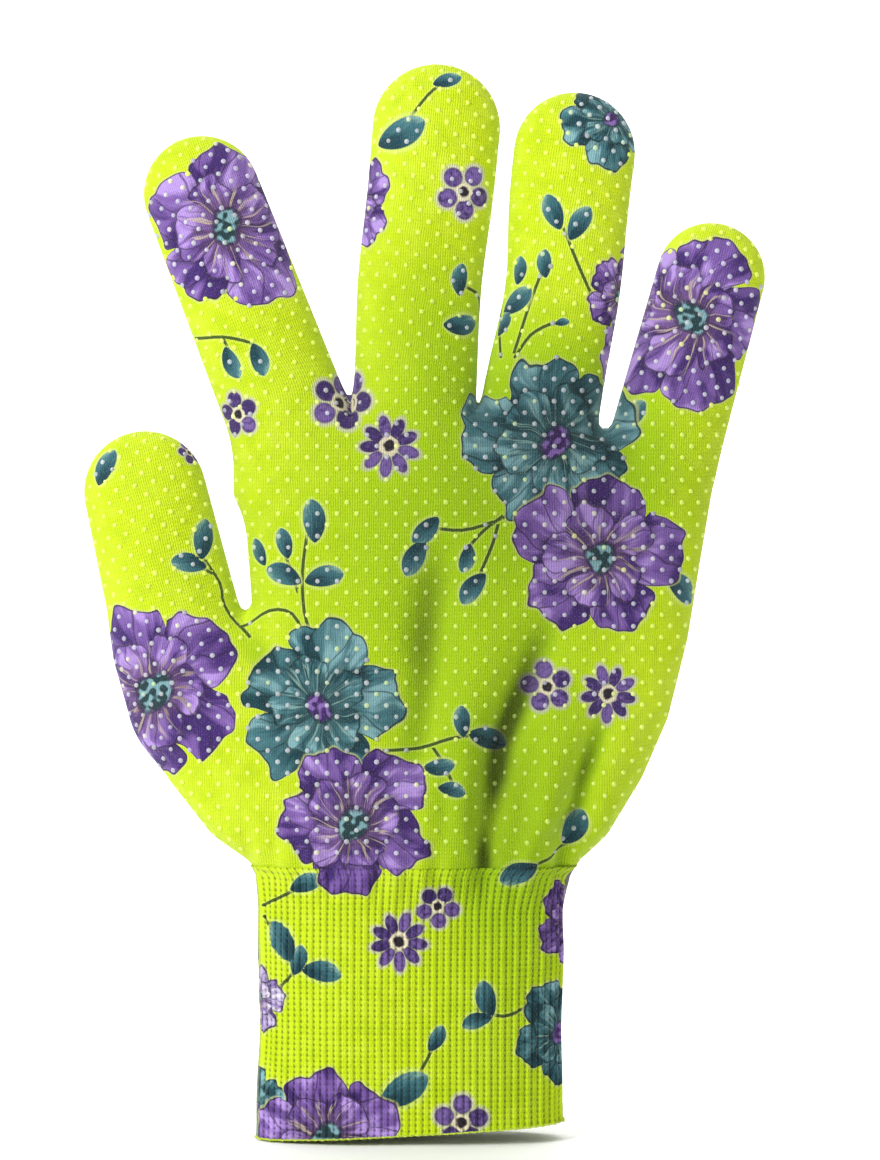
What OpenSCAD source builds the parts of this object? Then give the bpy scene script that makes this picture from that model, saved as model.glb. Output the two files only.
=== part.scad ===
// Knitted gardening glove, left hand, standing on its cuff.
// The palm faces -Y, the fingers point to +Z and the thumb is on the -X side.
// The origin is the centre of the cuff's mouth, in the plane of its rim.
// The knitted sections are thin shells with flat sides and rounded edges.
// Wedges cut from both parts at each fold line leave room for the glove to fold.

/* [Fabric] */
// Thickness of the knitted fabric
wall = 1.2; // [0.8:0.1:1.5]
// Gap left between neighbouring sections at a fold line, each side
fold_gap = 0.6; // [0.4:0.1:0.9]

/* [Cuff] */
// Width of the cuff across the wrist
cuff_w = 66.6; // [60:0.2:68]
// Thickness of the cuff, palm side to back
cuff_t = 18; // [16:0.5:20]
// Height of the wrist fold above the rim
wrist_z = 60; // [56:1:62]
// Sideways offset of the cuff's centre line
cuff_x = 0.4; // [-1:0.1:1]
// Height of the overlocked edge at the rim
hem_h = 2.4; // [2:0.1:3.5]
// Number of elastic threads laid inside the cuff
elastic_n = 14; // [4:1:16]
// Diameter of an elastic thread
elastic_d = 0.5; // [0.3:0.05:0.6]

/* [Hand] */
// Thickness of the hand section, palm side to back
palm_t = 20; // [18:0.5:21]
// Height of the line where the thumb section meets the four-finger section
gusset_z = 113; // [112:0.5:114]

/* [Fingers] */
// Front to back thickness of the three long fingers
finger_t = 15; // [13.5:0.5:15.5]
// Front to back thickness of the little finger
little_t = 14; // [12.5:0.5:14.5]
// Front to back thickness of the thumb
thumb_t = 16; // [14:0.5:16.5]

/* [Folds] */
// Wrist fold towards the palm, degrees
wrist_flex = 55; // [40:1:60]
// Wrist fold towards the back, degrees
wrist_back = 45; // [30:1:50]
// Long finger root fold towards the palm, degrees
root_flex = 70; // [50:1:75]
// Long finger middle fold towards the palm, degrees
knuckle_flex = 80; // [50:1:85]
// The index finger's middle knuckle stops earlier, clear of the folded thumb [deg]
index_knuckle_flex = 70; // [50:1:72]
// Turn of a fingertip for each degree of the middle fold
tip_ratio = 0.6; // [0.5:0.05:0.65]
// Little finger root fold towards the palm, degrees
little_root_flex = 65; // [50:1:70]
// Little finger middle fold towards the palm, degrees
little_knuckle_flex = 70; // [50:1:75]
// Thumb root fold towards the palm, degrees
thumb_root_flex = 30; // [20:1:34]
// Thumb tip fold towards the palm, degrees
thumb_tip_flex = 60; // [40:1:65]
// Backward give at every finger root, degrees
root_back = 10; // [0:1:12]

/* [Grip dots] */
// Distance between dots in a row
dot_pitch_x = 4.25; // [3.8:0.05:6]
// Distance between a row and the next but one
dot_pitch_z = 4.85; // [4:0.05:6]
// Diameter of a dot
dot_d = 1.2; // [0.8:0.1:1.6]
// Height of a dot above the fabric
dot_h = 0.35; // [0.2:0.05:0.6]

/* [Hidden] */
$fn = 64;

LIME = [0.76, 0.90, 0.02];
LIME_DARK = [0.45, 0.60, 0.05];
RUBBER = [0.93, 0.92, 0.86];
DOT = [0.93, 0.95, 0.90];

small_fn = 24;       // facets of threads and dots
ball_fn = 32;        // facets of the balls that shape the hand
seam = 0.05;         // gap between parts that meet at a straight seam
fold_spare = 0.6;    // degrees added to each side of a fold's wedge
knuckle_back = 2;    // backward give at the fold lines beyond the root, degrees
tube_overrun = 14;   // extra length of a tube before its folds are cut
cut_w = 150;         // width of the oversize cuts across the hand
cut_size = 60;       // depth and height of the oversize boxes

hem_proud = 0.4;     // overlock outside the rib, each side
hem_inside = 0.2;    // overlock inside the rib, each side
elastic_gap = 0.05;  // between thread and rib
elastic_first_z = hem_h + 2.5;
elastic_last_z = wrist_z - 13.5;

palm_r = palm_t / 2;
fork_x = -36.4;                    // where the thumb parts from the hand
ROOT_EDGES = [-13.7, 15.2, 43.2];  // x where one finger root gives way to the next
root_overlap = 0.02;               // overlap of neighbouring root cuts, each side

dot_sink = 0.03;     // depth of a palm dot's base in the fabric
dot_wrap = 50;       // degrees the dots reach round a finger's edge
dot_reach_n = 4;     // dot columns tried each side of a finger's middle
tip_dot_edge = 3.2;  // bare rim of the rounded fingertip
tip_dot_top = 4.5;   // least distance of a dot row from the finger's end
palm_dot_edge = 0.6; // bare rim at the sides of the hand

// A finger: [root x, root z, lean (deg, + to +X), lean of its fold lines,
//            widths of its parts, thickness, heights of its fold lines,
//            length, folds towards the palm at each line]
INDEX  = [-26.7, 159.1, -21.0, -10.5, [27.8, 27.2, 26.2], finger_t,
          [3, 22, 42], 62.8, [root_flex, index_knuckle_flex, index_knuckle_flex * tip_ratio]];
MIDDLE = [  0.7, 165.0,   4.7,   2.3, [26.8, 26.8, 27.6], finger_t,
          [3, 24.5, 46.5], 68.3, [root_flex, knuckle_flex, knuckle_flex * tip_ratio]];
RING   = [ 28.5, 163.7,   7.6,   3.8, [26.0, 25.6, 26.4], finger_t,
          [3, 22.5, 43.5], 64.2, [root_flex, knuckle_flex, knuckle_flex * tip_ratio]];
LITTLE = [ 55.9, 157.4,  15.0,   7.5, [24.4, 24.0, 23.2], little_t,
          [2.5, 15.5, 27.5], 42.2,
          [little_root_flex, little_knuckle_flex, little_knuckle_flex * tip_ratio]];
THUMB  = [-49.2, 109.6, -13.3, -26.0, [28.0, 26.8], thumb_t,
          [5, 24], 45.0, [thumb_root_flex, thumb_tip_flex]];
FINGERS = [INDEX, MIDDLE, RING, LITTLE];

function root(finger) = [finger[0], 0, finger[1]];
function lean(finger) = finger[2];
function line_lean(finger) = finger[3];
function width(finger, part) = finger[4][part];
function thickness(finger) = finger[5];
function line_height(finger, line) = finger[6][line];
function last_line(finger) = len(finger[6]) - 1;
function full_length(finger) = finger[7];
function flex(finger, line) = finger[8][line];
function back_give(line) = line == 0 ? root_back : knuckle_back;
// Where a fold line crosses the finger's centre line
function line_place(finger, line) = root(finger)
    + line_height(finger, line) * [sin(lean(finger)), 0, cos(lean(finger))];

// Ball centres of the hand at each height: [z, x on the -X side, x on the +X side, radius]
HAND_CORE = [
    [ 57, -23.3, 24.2, cuff_t / 2], [ 72, -25.0, 34.0, (cuff_t + palm_t) / 4],
    [ 87, -25.0, 42.0, palm_r], [102, -24.6, 47.2, palm_r], [119, -24.5, 50.6, palm_r],
    [137, -25.4, 53.2, palm_r], [150, -27.2, 55.6, 9.0], [166, -33.0, 60.0, finger_t / 2]
];
// Ball centres of the ball of the thumb: [x, z, radius],
// up the -X side and back down the +X side
THENAR_CORE = [
    [-23.3, 57, cuff_t / 2], [-33.0, 70, 9.3], [-42.5, 83, 9.8], [-48.0, 94, palm_r],
    [-51.4, 104, palm_r], [-57.0, 122, thumb_t / 2], [-45.5, 122, thumb_t / 2],
    [-20.0, 92, palm_r], [-12.0, 57, cuff_t / 2]
];

// ---------- general shapes ----------

// Flat-sided section with half-round edges
module slot2d(w, t) {
    square([w - t, t], center = true);
    for (side = [-1, 1]) translate([side * (w - t) / 2, 0]) circle(d = t);
}

// Hollow slot section
module slot_ring(w, t, shell = wall) {
    difference() {
        slot2d(w, t);
        slot2d(w - 2 * shell, t - 2 * shell);
    }
}

// Straight bar of slot section, closed at the top by a half disc
module capped(w, t, z_start, z_end) {
    cap_z = z_end - w / 2;
    translate([0, 0, z_start]) linear_extrude(cap_z - z_start) slot2d(w, t);
    translate([0, 0, cap_z]) rotate([90, 0, 0]) rotate_extrude()
        intersection() {
            union() {
                translate([0, -t / 2]) square([w / 2 - t / 2, t]);
                translate([w / 2 - t / 2, 0]) circle(d = t);
            }
            translate([0, -t]) square([w, 2 * t]);
        }
}

// Ball with its poles along Y, slightly enlarged to allow for its facets
module ball(x, z, r) {
    translate([x, 0, z]) rotate([90, 0, 0]) sphere(r = r / cos(90 / ball_fn), $fn = ball_fn);
}

// Solid hand between two stations of HAND_CORE, thinner by `inset` all over
module hand_core(first, last, inset = 0) {
    hull() for (i = [first : last]) for (side = [1, 2])
        ball(HAND_CORE[i][side], HAND_CORE[i][0], HAND_CORE[i][3] - inset);
}

module thenar_core(inset = 0) {
    hull() for (point = THENAR_CORE) ball(point[0], point[1], point[2] - inset);
}

// ---------- fold cuts ----------

// Slope of one side of a fold's wedge
function fold_slope(angle) = tan(angle / 2 + fold_spare);

// Everything above a fold line, for cutting the part below it.
// flex and back are the folds towards the palm and the back.
module above(w, flex, back, reach = 40, h = 70) {
    rotate([90, 0, 90]) linear_extrude(w, center = true) polygon([
        [0, -fold_gap],
        [-reach, -fold_gap - reach * fold_slope(flex)],
        [-reach, h],
        [reach, h],
        [reach, -fold_gap - reach * fold_slope(back)]
    ]);
}

// Everything below a fold line, for cutting the part above it
module below(w, flex, back, reach = 40, h = 70) {
    mirror([0, 0, 1]) above(w, flex, back, reach, h);
}

module at_line(finger, line) {
    translate(line_place(finger, line)) rotate([0, line_lean(finger), 0]) children();
}

module above_line(finger, line, w) {
    at_line(finger, line) above(w, flex(finger, line), back_give(line));
}

module below_line(finger, line, w) {
    at_line(finger, line) below(w, flex(finger, line), back_give(line));
}

// ---------- fingers ----------

module in_finger(finger) {
    translate(root(finger)) rotate([0, lean(finger), 0]) children();
}

// Tube between fold lines `part` and `part` + 1
module finger_tube(finger, part) {
    w = width(finger, part);
    z_start = line_height(finger, part);
    z_end = line_height(finger, part + 1);
    color(LIME) difference() {
        in_finger(finger) translate([0, 0, z_start - tube_overrun])
            linear_extrude(z_end - z_start + 2 * tube_overrun)
                slot_ring(w, thickness(finger));
        below_line(finger, part, w + 30);
        above_line(finger, part + 1, w + 30);
    }
}

// Closed end of a finger above its last fold line
module finger_end(finger) {
    part = last_line(finger);
    w = width(finger, part);
    t = thickness(finger);
    z_start = line_height(finger, part) - tube_overrun;
    z_end = full_length(finger);
    color(LIME) difference() {
        in_finger(finger) difference() {
            capped(w, t, z_start, z_end);
            capped(w - 2 * wall, t - 2 * wall, z_start - 1, z_end - wall);
        }
        below_line(finger, part, w + 30);
    }
}

// ---------- hand ----------

// Hand section from the wrist to the thumb's fork
module palm_thumb_section() {
    color(LIME) difference() {
        union() {
            hand_core(0, 5);
            thenar_core();
        }
        hand_core(0, 5, inset = wall);
        thenar_core(inset = wall);
        translate([cuff_x, 0, wrist_z]) below(cut_w, wrist_flex, wrist_back, h = 60);
        // the four-finger section continues above
        translate([fork_x, -cut_size / 2, gusset_z]) cube([cut_w, cut_size, cut_size]);
        // the thumb's root fold, only on the thumb's side of the fork
        difference() {
            above_line(THUMB, 0, 60);
            translate([fork_x, -cut_size, 60]) cube([cut_w, 2 * cut_size, 2 * cut_size]);
        }
    }
}

// Hand section from the thumb's fork to the finger roots
module palm_finger_section() {
    edges = concat([-70], ROOT_EDGES, [90]);
    color(LIME) difference() {
        hand_core(3, 7);
        hand_core(3, 7, inset = wall);
        translate([-100, -cut_size / 2, gusset_z + seam - cut_size])
            cube([220, cut_size, cut_size]);
        // each finger's root fold, within its own share of the width
        for (i = [0 : 3]) intersection() {
            above_line(FINGERS[i], 0, 120);
            translate([edges[i] - root_overlap, -cut_size, 120])
                cube([edges[i + 1] - edges[i] + 2 * root_overlap, 2 * cut_size, 2 * cut_size]);
        }
    }
}

// ---------- cuff ----------

module cuff_rib() {
    color(LIME) difference() {
        translate([cuff_x, 0, hem_h + seam]) linear_extrude(wrist_z + 10)
            slot_ring(cuff_w, cuff_t);
        translate([cuff_x, 0, wrist_z]) above(cut_w, wrist_flex, wrist_back);
    }
}

// Thread loops that make the cuff elastic, close inside the rib
module cuff_elastic() {
    inset = 2 * wall + elastic_d + 2 * elastic_gap;
    loop_t = cuff_t - inset;
    half_run = (cuff_w - cuff_t) / 2;
    step = (elastic_last_z - elastic_first_z) / (elastic_n - 1);
    color(RUBBER) for (i = [0 : elastic_n - 1])
        translate([cuff_x, 0, elastic_first_z + i * step])
            for (side = [-1, 1]) {
                translate([-half_run, side * loop_t / 2, 0]) rotate([0, 90, 0])
                    cylinder(d = elastic_d, h = 2 * half_run, $fn = small_fn);
                translate([side * half_run, 0, 0]) rotate([0, 0, side * 90 - 180])
                    rotate_extrude(angle = 180)
                        translate([loop_t / 2, 0]) circle(d = elastic_d, $fn = small_fn);
            }
}

// Overlock stitching round the raw edge
module cuff_overlock() {
    color(LIME_DARK) translate([cuff_x, 0, 0]) linear_extrude(hem_h)
        slot_ring(cuff_w + 2 * hem_proud, cuff_t + 2 * hem_proud,
                  shell = hem_proud + wall + hem_inside);
}

// ---------- grip dots on the fingers ----------

module dot() {
    rotate([90, 0, 0]) cylinder(d = dot_d, h = dot_h, $fn = small_fn);
}

// A dot on a slot section, `along` the section from the middle of its palm side
module dot_on(w, t, along, z) {
    flat = (w - t) / 2;
    over = abs(along) - flat;
    turn = over > 0 ? over / (t / 2) * 180 / PI : 0;
    translate([sign(along) * min(abs(along), flat), 0, z])
        rotate([0, 0, sign(along) * turn])
            translate([0, -t / 2, 0]) dot();
}

// Staggered rows of dots on a finger, centred between two heights.
// Where the end is rounded they stay on the flat, inside a bare rim.
module finger_dots(finger, part, z_start, z_end) {
    w = width(finger, part);
    t = thickness(finger);
    flat = (w - t) / 2;
    row_step = dot_pitch_z / 2;
    rows = max(0, floor((z_end - z_start) / row_step));
    margin = (z_end - z_start - rows * row_step) / 2;
    color(DOT) in_finger(finger) for (j = [0 : rows]) {
        z = z_start + margin + j * row_step;
        up = z - (full_length(finger) - w / 2);
        limit = up > 0
            ? min(flat, sqrt(max(0, pow(w / 2 - tip_dot_edge, 2) - up * up)))
            : flat + t / 2 * dot_wrap * PI / 180;
        stagger = (j % 2) * dot_pitch_x / 2;
        for (i = [-dot_reach_n : dot_reach_n]) {
            along = i * dot_pitch_x + stagger;
            if (abs(along) <= limit) dot_on(w, t, along, z);
        }
    }
}

// Bare strip on either side of a fold line: the wedge, half a dot, an allowance
// for the line's tilt across the finger and a small margin
function bare(finger, line) =
    fold_gap + thickness(finger) / 2 * fold_slope(flex(finger, line)) + dot_d / 2
    + abs(lean(finger) - line_lean(finger)) * 0.11 + 0.3;

module tube_dots(finger, part) {
    finger_dots(finger, part,
                line_height(finger, part) + bare(finger, part),
                line_height(finger, part + 1) - bare(finger, part + 1));
}

module end_dots(finger) {
    part = last_line(finger);
    finger_dots(finger, part,
                line_height(finger, part) + bare(finger, part),
                full_length(finger) - tip_dot_top);
}

// ---------- grip dots on the hand ----------

// Column of HAND_CORE at height z
function hand_at(column, z) = lookup(z, [for (row = HAND_CORE) [row[0], row[column]]]);
// x of the thenar core at height z, along the listed points
function thenar_at(points, z) =
    lookup(z, [for (i = points) [THENAR_CORE[i][1], THENAR_CORE[i][0]]]);

// The ball of the thumb thins by 0.106 per mm beyond a slanting line through
// a core point, towards the thumb
function thenar_half(x, z) =
    palm_r - 0.106 * max(0, (x - THENAR_CORE[4][0]) * 0.357 + (z - THENAR_CORE[4][1]) * 0.934);

// Highest z for a dot at x below a finger's root fold
function dot_roof(finger, half_t, x) =
    line_place(finger, 0)[2] - (x - root_x(finger)) * tan(line_lean(finger))
    - (fold_gap + half_t * fold_slope(flex(finger, 0))) / cos(line_lean(finger)) - dot_d;
function root_x(finger) = line_place(finger, 0)[0];

// Whether a dot on the ball of the thumb clears the thumb's root fold, the
// seam and, above z = 97, the ball's +X edge
function ball_dot_fits(x, z) =
    z < min(dot_roof(THUMB, palm_r, x), gusset_z - 1.5)
    && !(z > 97 && x > thenar_at([7, 6], z) - 0.8);

// Staggered rows of dots on one hand section
module palm_rows(z_start, z_end, thumb_section) {
    ball_x = -25.2;  // the ball of the thumb lies on the -X side of this
    rows = floor((z_end - z_start) / (dot_pitch_z / 2));
    color(DOT) for (j = [0 : rows]) {
        z = z_start + j * dot_pitch_z / 2;
        stagger = (j % 2) / 2;
        x_min = thumb_section ? thenar_at([0 : 5], z) : hand_at(1, z);
        x_max = hand_at(2, z);
        first = ceil((x_min + palm_dot_edge) / dot_pitch_x - stagger);
        last = floor((x_max - palm_dot_edge) / dot_pitch_x - stagger);
        for (i = [first : last]) {
            x = (i + stagger) * dot_pitch_x;
            on_ball = thumb_section && x < ball_x;
            k = x < ROOT_EDGES[0] ? 0 : x < ROOT_EDGES[1] ? 1 : x < ROOT_EDGES[2] ? 2 : 3;
            half = on_ball ? min(hand_at(3, z), thenar_half(x, z)) : hand_at(3, z);
            if ((thumb_section || z < dot_roof(FINGERS[k], finger_t / 2, x))
                && (!on_ball || ball_dot_fits(x, z)))
                translate([x, -half + dot_sink, z]) dot();
        }
    }
}

module palm_thumb_section_dots() palm_rows(wrist_z + 7.5, gusset_z - 1, true);
module palm_finger_section_dots() palm_rows(gusset_z + 1.25, 166, false);

// ---------- the glove ----------

cuff_rib();
cuff_elastic();
cuff_overlock();
palm_thumb_section();
palm_finger_section();
finger_tube(INDEX, 0);  // index_root_tube
finger_tube(INDEX, 1);  // index_middle_tube
finger_end(INDEX);  // index_tip
finger_tube(MIDDLE, 0);  // middle_root_tube
finger_tube(MIDDLE, 1);  // middle_middle_tube
finger_end(MIDDLE);  // middle_tip
finger_tube(RING, 0);  // ring_root_tube
finger_tube(RING, 1);  // ring_middle_tube
finger_end(RING);  // ring_tip
finger_tube(LITTLE, 0);  // little_root_tube
finger_tube(LITTLE, 1);  // little_middle_tube
finger_end(LITTLE);  // little_tip
finger_tube(THUMB, 0);  // thumb_root_tube
finger_end(THUMB);  // thumb_tip
palm_thumb_section_dots();
palm_finger_section_dots();
tube_dots(INDEX, 0);  // index_root_dots
tube_dots(INDEX, 1);  // index_middle_dots
end_dots(INDEX);  // index_tip_dots
tube_dots(MIDDLE, 0);  // middle_root_dots
tube_dots(MIDDLE, 1);  // middle_middle_dots
end_dots(MIDDLE);  // middle_tip_dots
tube_dots(RING, 0);  // ring_root_dots
tube_dots(RING, 1);  // ring_middle_dots
end_dots(RING);  // ring_tip_dots
tube_dots(LITTLE, 0);  // little_root_dots
tube_dots(LITTLE, 1);  // little_middle_dots
end_dots(LITTLE);  // little_tip_dots
tube_dots(THUMB, 0);  // thumb_root_dots
end_dots(THUMB);  // thumb_tip_dots
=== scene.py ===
# Knitted gardening glove: fabric skin, rib cuff, overlocked rim, grip dots and flower print.
# It stands upright: cuff rim near z = 0, fingers towards +Z, palm facing -Y, thumb on -X.
# Lengths are millimetres until make_mesh() scales them to metres.
import math
import bpy
import numpy as np
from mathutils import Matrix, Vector
from mathutils.kdtree import KDTree


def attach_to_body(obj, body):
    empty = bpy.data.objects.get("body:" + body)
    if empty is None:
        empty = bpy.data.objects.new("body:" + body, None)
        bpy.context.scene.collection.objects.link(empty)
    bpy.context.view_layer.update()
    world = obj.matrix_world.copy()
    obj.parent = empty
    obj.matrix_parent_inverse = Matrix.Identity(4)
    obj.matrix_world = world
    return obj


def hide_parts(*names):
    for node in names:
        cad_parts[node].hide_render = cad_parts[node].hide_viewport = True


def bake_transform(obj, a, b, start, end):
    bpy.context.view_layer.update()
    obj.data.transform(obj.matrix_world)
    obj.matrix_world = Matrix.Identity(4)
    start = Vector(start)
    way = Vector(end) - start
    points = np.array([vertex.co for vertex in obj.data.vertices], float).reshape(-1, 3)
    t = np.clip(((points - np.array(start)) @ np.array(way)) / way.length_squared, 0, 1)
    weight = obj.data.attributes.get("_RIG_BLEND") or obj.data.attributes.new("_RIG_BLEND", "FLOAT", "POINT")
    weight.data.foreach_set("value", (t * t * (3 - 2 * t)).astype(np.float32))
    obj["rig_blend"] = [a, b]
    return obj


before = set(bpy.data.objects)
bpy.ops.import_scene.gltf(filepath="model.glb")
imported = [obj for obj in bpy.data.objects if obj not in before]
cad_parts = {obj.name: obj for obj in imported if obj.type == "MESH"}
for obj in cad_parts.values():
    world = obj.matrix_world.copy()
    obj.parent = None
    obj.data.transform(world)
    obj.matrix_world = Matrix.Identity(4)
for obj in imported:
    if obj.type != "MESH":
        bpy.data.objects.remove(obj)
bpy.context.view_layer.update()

MM = 0.001
TURN = 2 * math.pi


# ------------------------------------------------------------------ fingers and outline
class Finger:
    """A finger in the x-z plane. Angles are degrees from +Z, + towards +X.
    root is on its centre line; half_widths are at root and tip; folds holds, for each bend,
    (height along the finger, start and end of the bending zone measured from that line)."""

    def __init__(self, root, lean, half_widths, length, folds, fold_lean, overlap,
                 join=2.0, bow=0.0, waist=0.0, knit_overlap=2):
        self.root = np.array(root)
        self.half_widths, self.length = half_widths, length
        self.overlap, self.join = overlap, join          # capsule below the root, blend size
        self.bow, self.waist = bow, waist                # sideways bow, narrowing half way
        self.knit_overlap = knit_overlap                 # stitches start turning below the root
        lean, fold_lean = math.radians(lean), math.radians(fold_lean)
        self.along = np.array([math.sin(lean), math.cos(lean)])
        self.across = np.array([math.cos(lean), -math.sin(lean)])
        self.fold_normal = np.array([math.sin(fold_lean), math.cos(fold_lean)])
        self.heights = [fold[0] for fold in folds]
        self.zones = [fold[1:] for fold in folds]
        self.fold_points = [self.root + height * self.along for height in self.heights]
        self.parts = ["root", "middle", "tip"] if len(folds) == 3 else ["root", "tip"]

    def local(self, x, z):
        """Distances across and along the finger from its root."""
        dx, dz = x - self.root[0], z - self.root[1]
        return (dx * self.across[0] + dz * self.across[1],
                dx * self.along[0] + dz * self.along[1])

    def past_fold(self, fold, x, z):
        """Distance past a fold line, square to it."""
        point = self.fold_points[fold]
        return (x - point[0]) * self.fold_normal[0] + (z - point[1]) * self.fold_normal[1]

    def zone_point(self, fold, offset):
        x, z = self.fold_points[fold] + offset * self.fold_normal
        return Vector((x * MM, 0, z * MM))


FINGERS = {
    "index": Finger((-27.7, 158.8), -21.2, (13.4, 12.7), 62.8,
                    ((3, -2.0, 12.0), (22, -6.5, 6.5), (42, -6.0, 6.0)), -10.5, 6.0),
    "middle": Finger((0.7, 165.0), 4.7, (13.3, 13.9), 69.0,
                     ((3, -2.0, 12.5), (24.5, -6.5, 6.5), (46.5, -6.0, 6.0)), 2.3, 10.0,
                     bow=-0.85),
    "ring": Finger((28.5, 163.7), 7.6, (12.9, 13.2), 64.4,
                   ((3, -2.0, 12.0), (22.5, -6.5, 6.5), (43.5, -6.0, 6.0)), 3.8, 10.0,
                   bow=1.35, waist=0.5),
    "little": Finger((56.7, 157.4), 15.4, (12.2, 11.8), 43.0,
                     ((2.5, -2.0, 7.0), (15.5, -4.6, 4.6), (27.5, -4.2, 4.2)), 7.5, 8.0),
    "thumb": Finger((-50.9, 109.8), -13.3, (14.3, 13.3), 45.0,
                    ((5, -3.0, 10.5), (24, -7.0, 7.0)), -26.0, 16.0,
                    join=3.0, knit_overlap=14),
}
THUMB = 4                      # its number among the fingers

# Outline of the hand below the fingers, upwards: (x, z)
THUMB_SIDE = [(-33.0, 20), (-33.1, 50), (-33.2, 57.6), (-35.9, 60.6), (-43.6, 66.0),
              (-53.0, 78.0), (-60.0, 91.0), (-64.4, 104.0), (-64.8, 112.0)]
LITTLE_SIDE = [(31.7, 20), (32.3, 50), (33.4, 57.6), (36.6, 60.6), (42.4, 66.0), (50.0, 78.5),
               (55.6, 91.4), (59.9, 108.6), (62.7, 125.8), (65.6, 143.0)]
LOWER_HAND = (THUMB_SIDE + [(-36.6, 113.5), (-34.9, 116), (-36.0, 130), (-38.5, 150.0),
                            (-14.0, 150.0), (43, 150.0), (65.8, 150.0)] + LITTLE_SIDE[::-1])
# Upper palm, which ends at the crotches between the fingers
UPPER_HAND = [(-39.0, 140), (-39.0, 156), (-14.4, 157.5), (15.5, 158.5), (42.6, 154.0),
              (67.0, 154.0), (63.7, 140), (55, 120), (-30, 120)]

# ------------------------------------------------------------------ distance field in the plane
GRID = 0.5
X_MIN, X_MAX, Z_MIN, Z_MAX = -86.0, 92.0, 22.0, 244.0
grid_x = np.arange(X_MIN, X_MAX + GRID / 2, GRID)
grid_z = np.arange(Z_MIN, Z_MAX + GRID / 2, GRID)
PLANE_X, PLANE_Z = np.meshgrid(grid_x, grid_z, indexing="ij")


def unit(t):
    return np.clip(t, 0, 1)


def smooth(t):
    """Clipped to 0-1 and eased at both ends."""
    t = unit(t)
    return t * t * (3 - 2 * t)


def bell(d, width):
    return np.exp(-0.5 * (d / width) ** 2)


def normalise(v):
    return v / np.linalg.norm(v, axis=1, keepdims=True)


def to_segment(x, z, ax, az, bx, bz):
    """Share of the way along a segment, and the offset from its nearest point."""
    ex, ez = bx - ax, bz - az
    t = unit(((x - ax) * ex + (z - az) * ez) / (ex * ex + ez * ez))
    return t, x - ax - t * ex, z - az - t * ez


def polygon_distance(x, z, polygon):
    """Signed distance to a polygon, negative inside."""
    points = np.array(polygon, float)
    nearest = np.full(x.shape, 1e9)
    inside = np.zeros(x.shape, bool)
    for (ax, az), (bx, bz) in zip(points, np.roll(points, -1, axis=0)):
        _, dx, dz = to_segment(x, z, ax, az, bx, bz)
        nearest = np.minimum(nearest, dx ** 2 + dz ** 2)
        if az != bz:
            inside ^= ((az > z) != (bz > z)) & (x < (bx - ax) * (z - az) / (bz - az) + ax)
    nearest = np.sqrt(nearest)
    return np.where(inside, -nearest, nearest)


def smooth_min(a, b, size):
    h = unit(0.5 + 0.5 * (b - a) / size)
    return b * (1 - h) + a * h - size * h * (1 - h)


def finger_distance(x, z, finger):
    """Signed distance to a capsule that changes width evenly from root to tip."""
    root_w, tip_w = finger.half_widths
    across, along = finger.local(x, z)
    across = across - finger.bow * np.exp(-((along - 21.0) / 15.0) ** 2)
    end = finger.length - tip_w
    t = unit((along + finger.overlap) / (end + finger.overlap))
    half = (root_w + (tip_w - root_w) * unit(along / end)
            - finger.waist * np.exp(-((along - 20.0) / 14.0) ** 2))
    nearest = -finger.overlap + t * (end + finger.overlap)
    return np.sqrt(across * across + (along - nearest) ** 2) - half


def blur(field, sigma):
    """Gaussian blur with edge padding, sigma in grid cells."""
    r = int(3 * sigma + 1)
    kernel = np.exp(-0.5 * (np.arange(-r, r + 1) / sigma) ** 2)
    kernel /= kernel.sum()
    for axis in (0, 1):
        pad = [(r, r) if i == axis else (0, 0) for i in (0, 1)]
        padded = np.pad(field, pad, mode="edge")
        out = np.zeros_like(field)
        for i, weight in enumerate(kernel):
            part = (padded[i:i + field.shape[0], :] if axis == 0
                    else padded[:, i:i + field.shape[1]])
            out += weight * part
        field = out
    return field


def outline_segments(field):
    """Middles and lengths of the pieces of the field's zero line."""
    a, b = field[:-1, :-1], field[1:, :-1]
    c, d = field[1:, 1:], field[:-1, 1:]
    x, z = PLANE_X[:-1, :-1], PLANE_Z[:-1, :-1]
    points, crossed = [], []
    # cell sides: the two corner values, then the corners' places in the cell
    for u, v, ux, uz, vx, vz in ((a, b, 0, 0, 1, 0), (b, c, 1, 0, 1, 1),
                                 (c, d, 1, 1, 0, 1), (d, a, 0, 1, 0, 0)):
        cross = (u < 0) != (v < 0)
        t = np.where(cross, u / np.where(cross, u - v, 1), 0)
        points.append((x + GRID * (ux + (vx - ux) * t), z + GRID * (uz + (vz - uz) * t)))
        crossed.append(cross)
    crossed = np.array(crossed)
    i, j = np.nonzero(crossed.sum(0) == 2)
    first = crossed.argmax(0)[i, j]
    last = (3 - crossed[::-1].argmax(0))[i, j]
    places = np.array([[px[i, j], pz[i, j]] for px, pz in points])
    cell = np.arange(len(i))
    p0, p1 = places[first, :, cell], places[last, :, cell]
    length = np.hypot(*(p1 - p0).T)
    keep = length > 1e-6
    return (p0[keep] + p1[keep]) / 2, length[keep]


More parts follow.
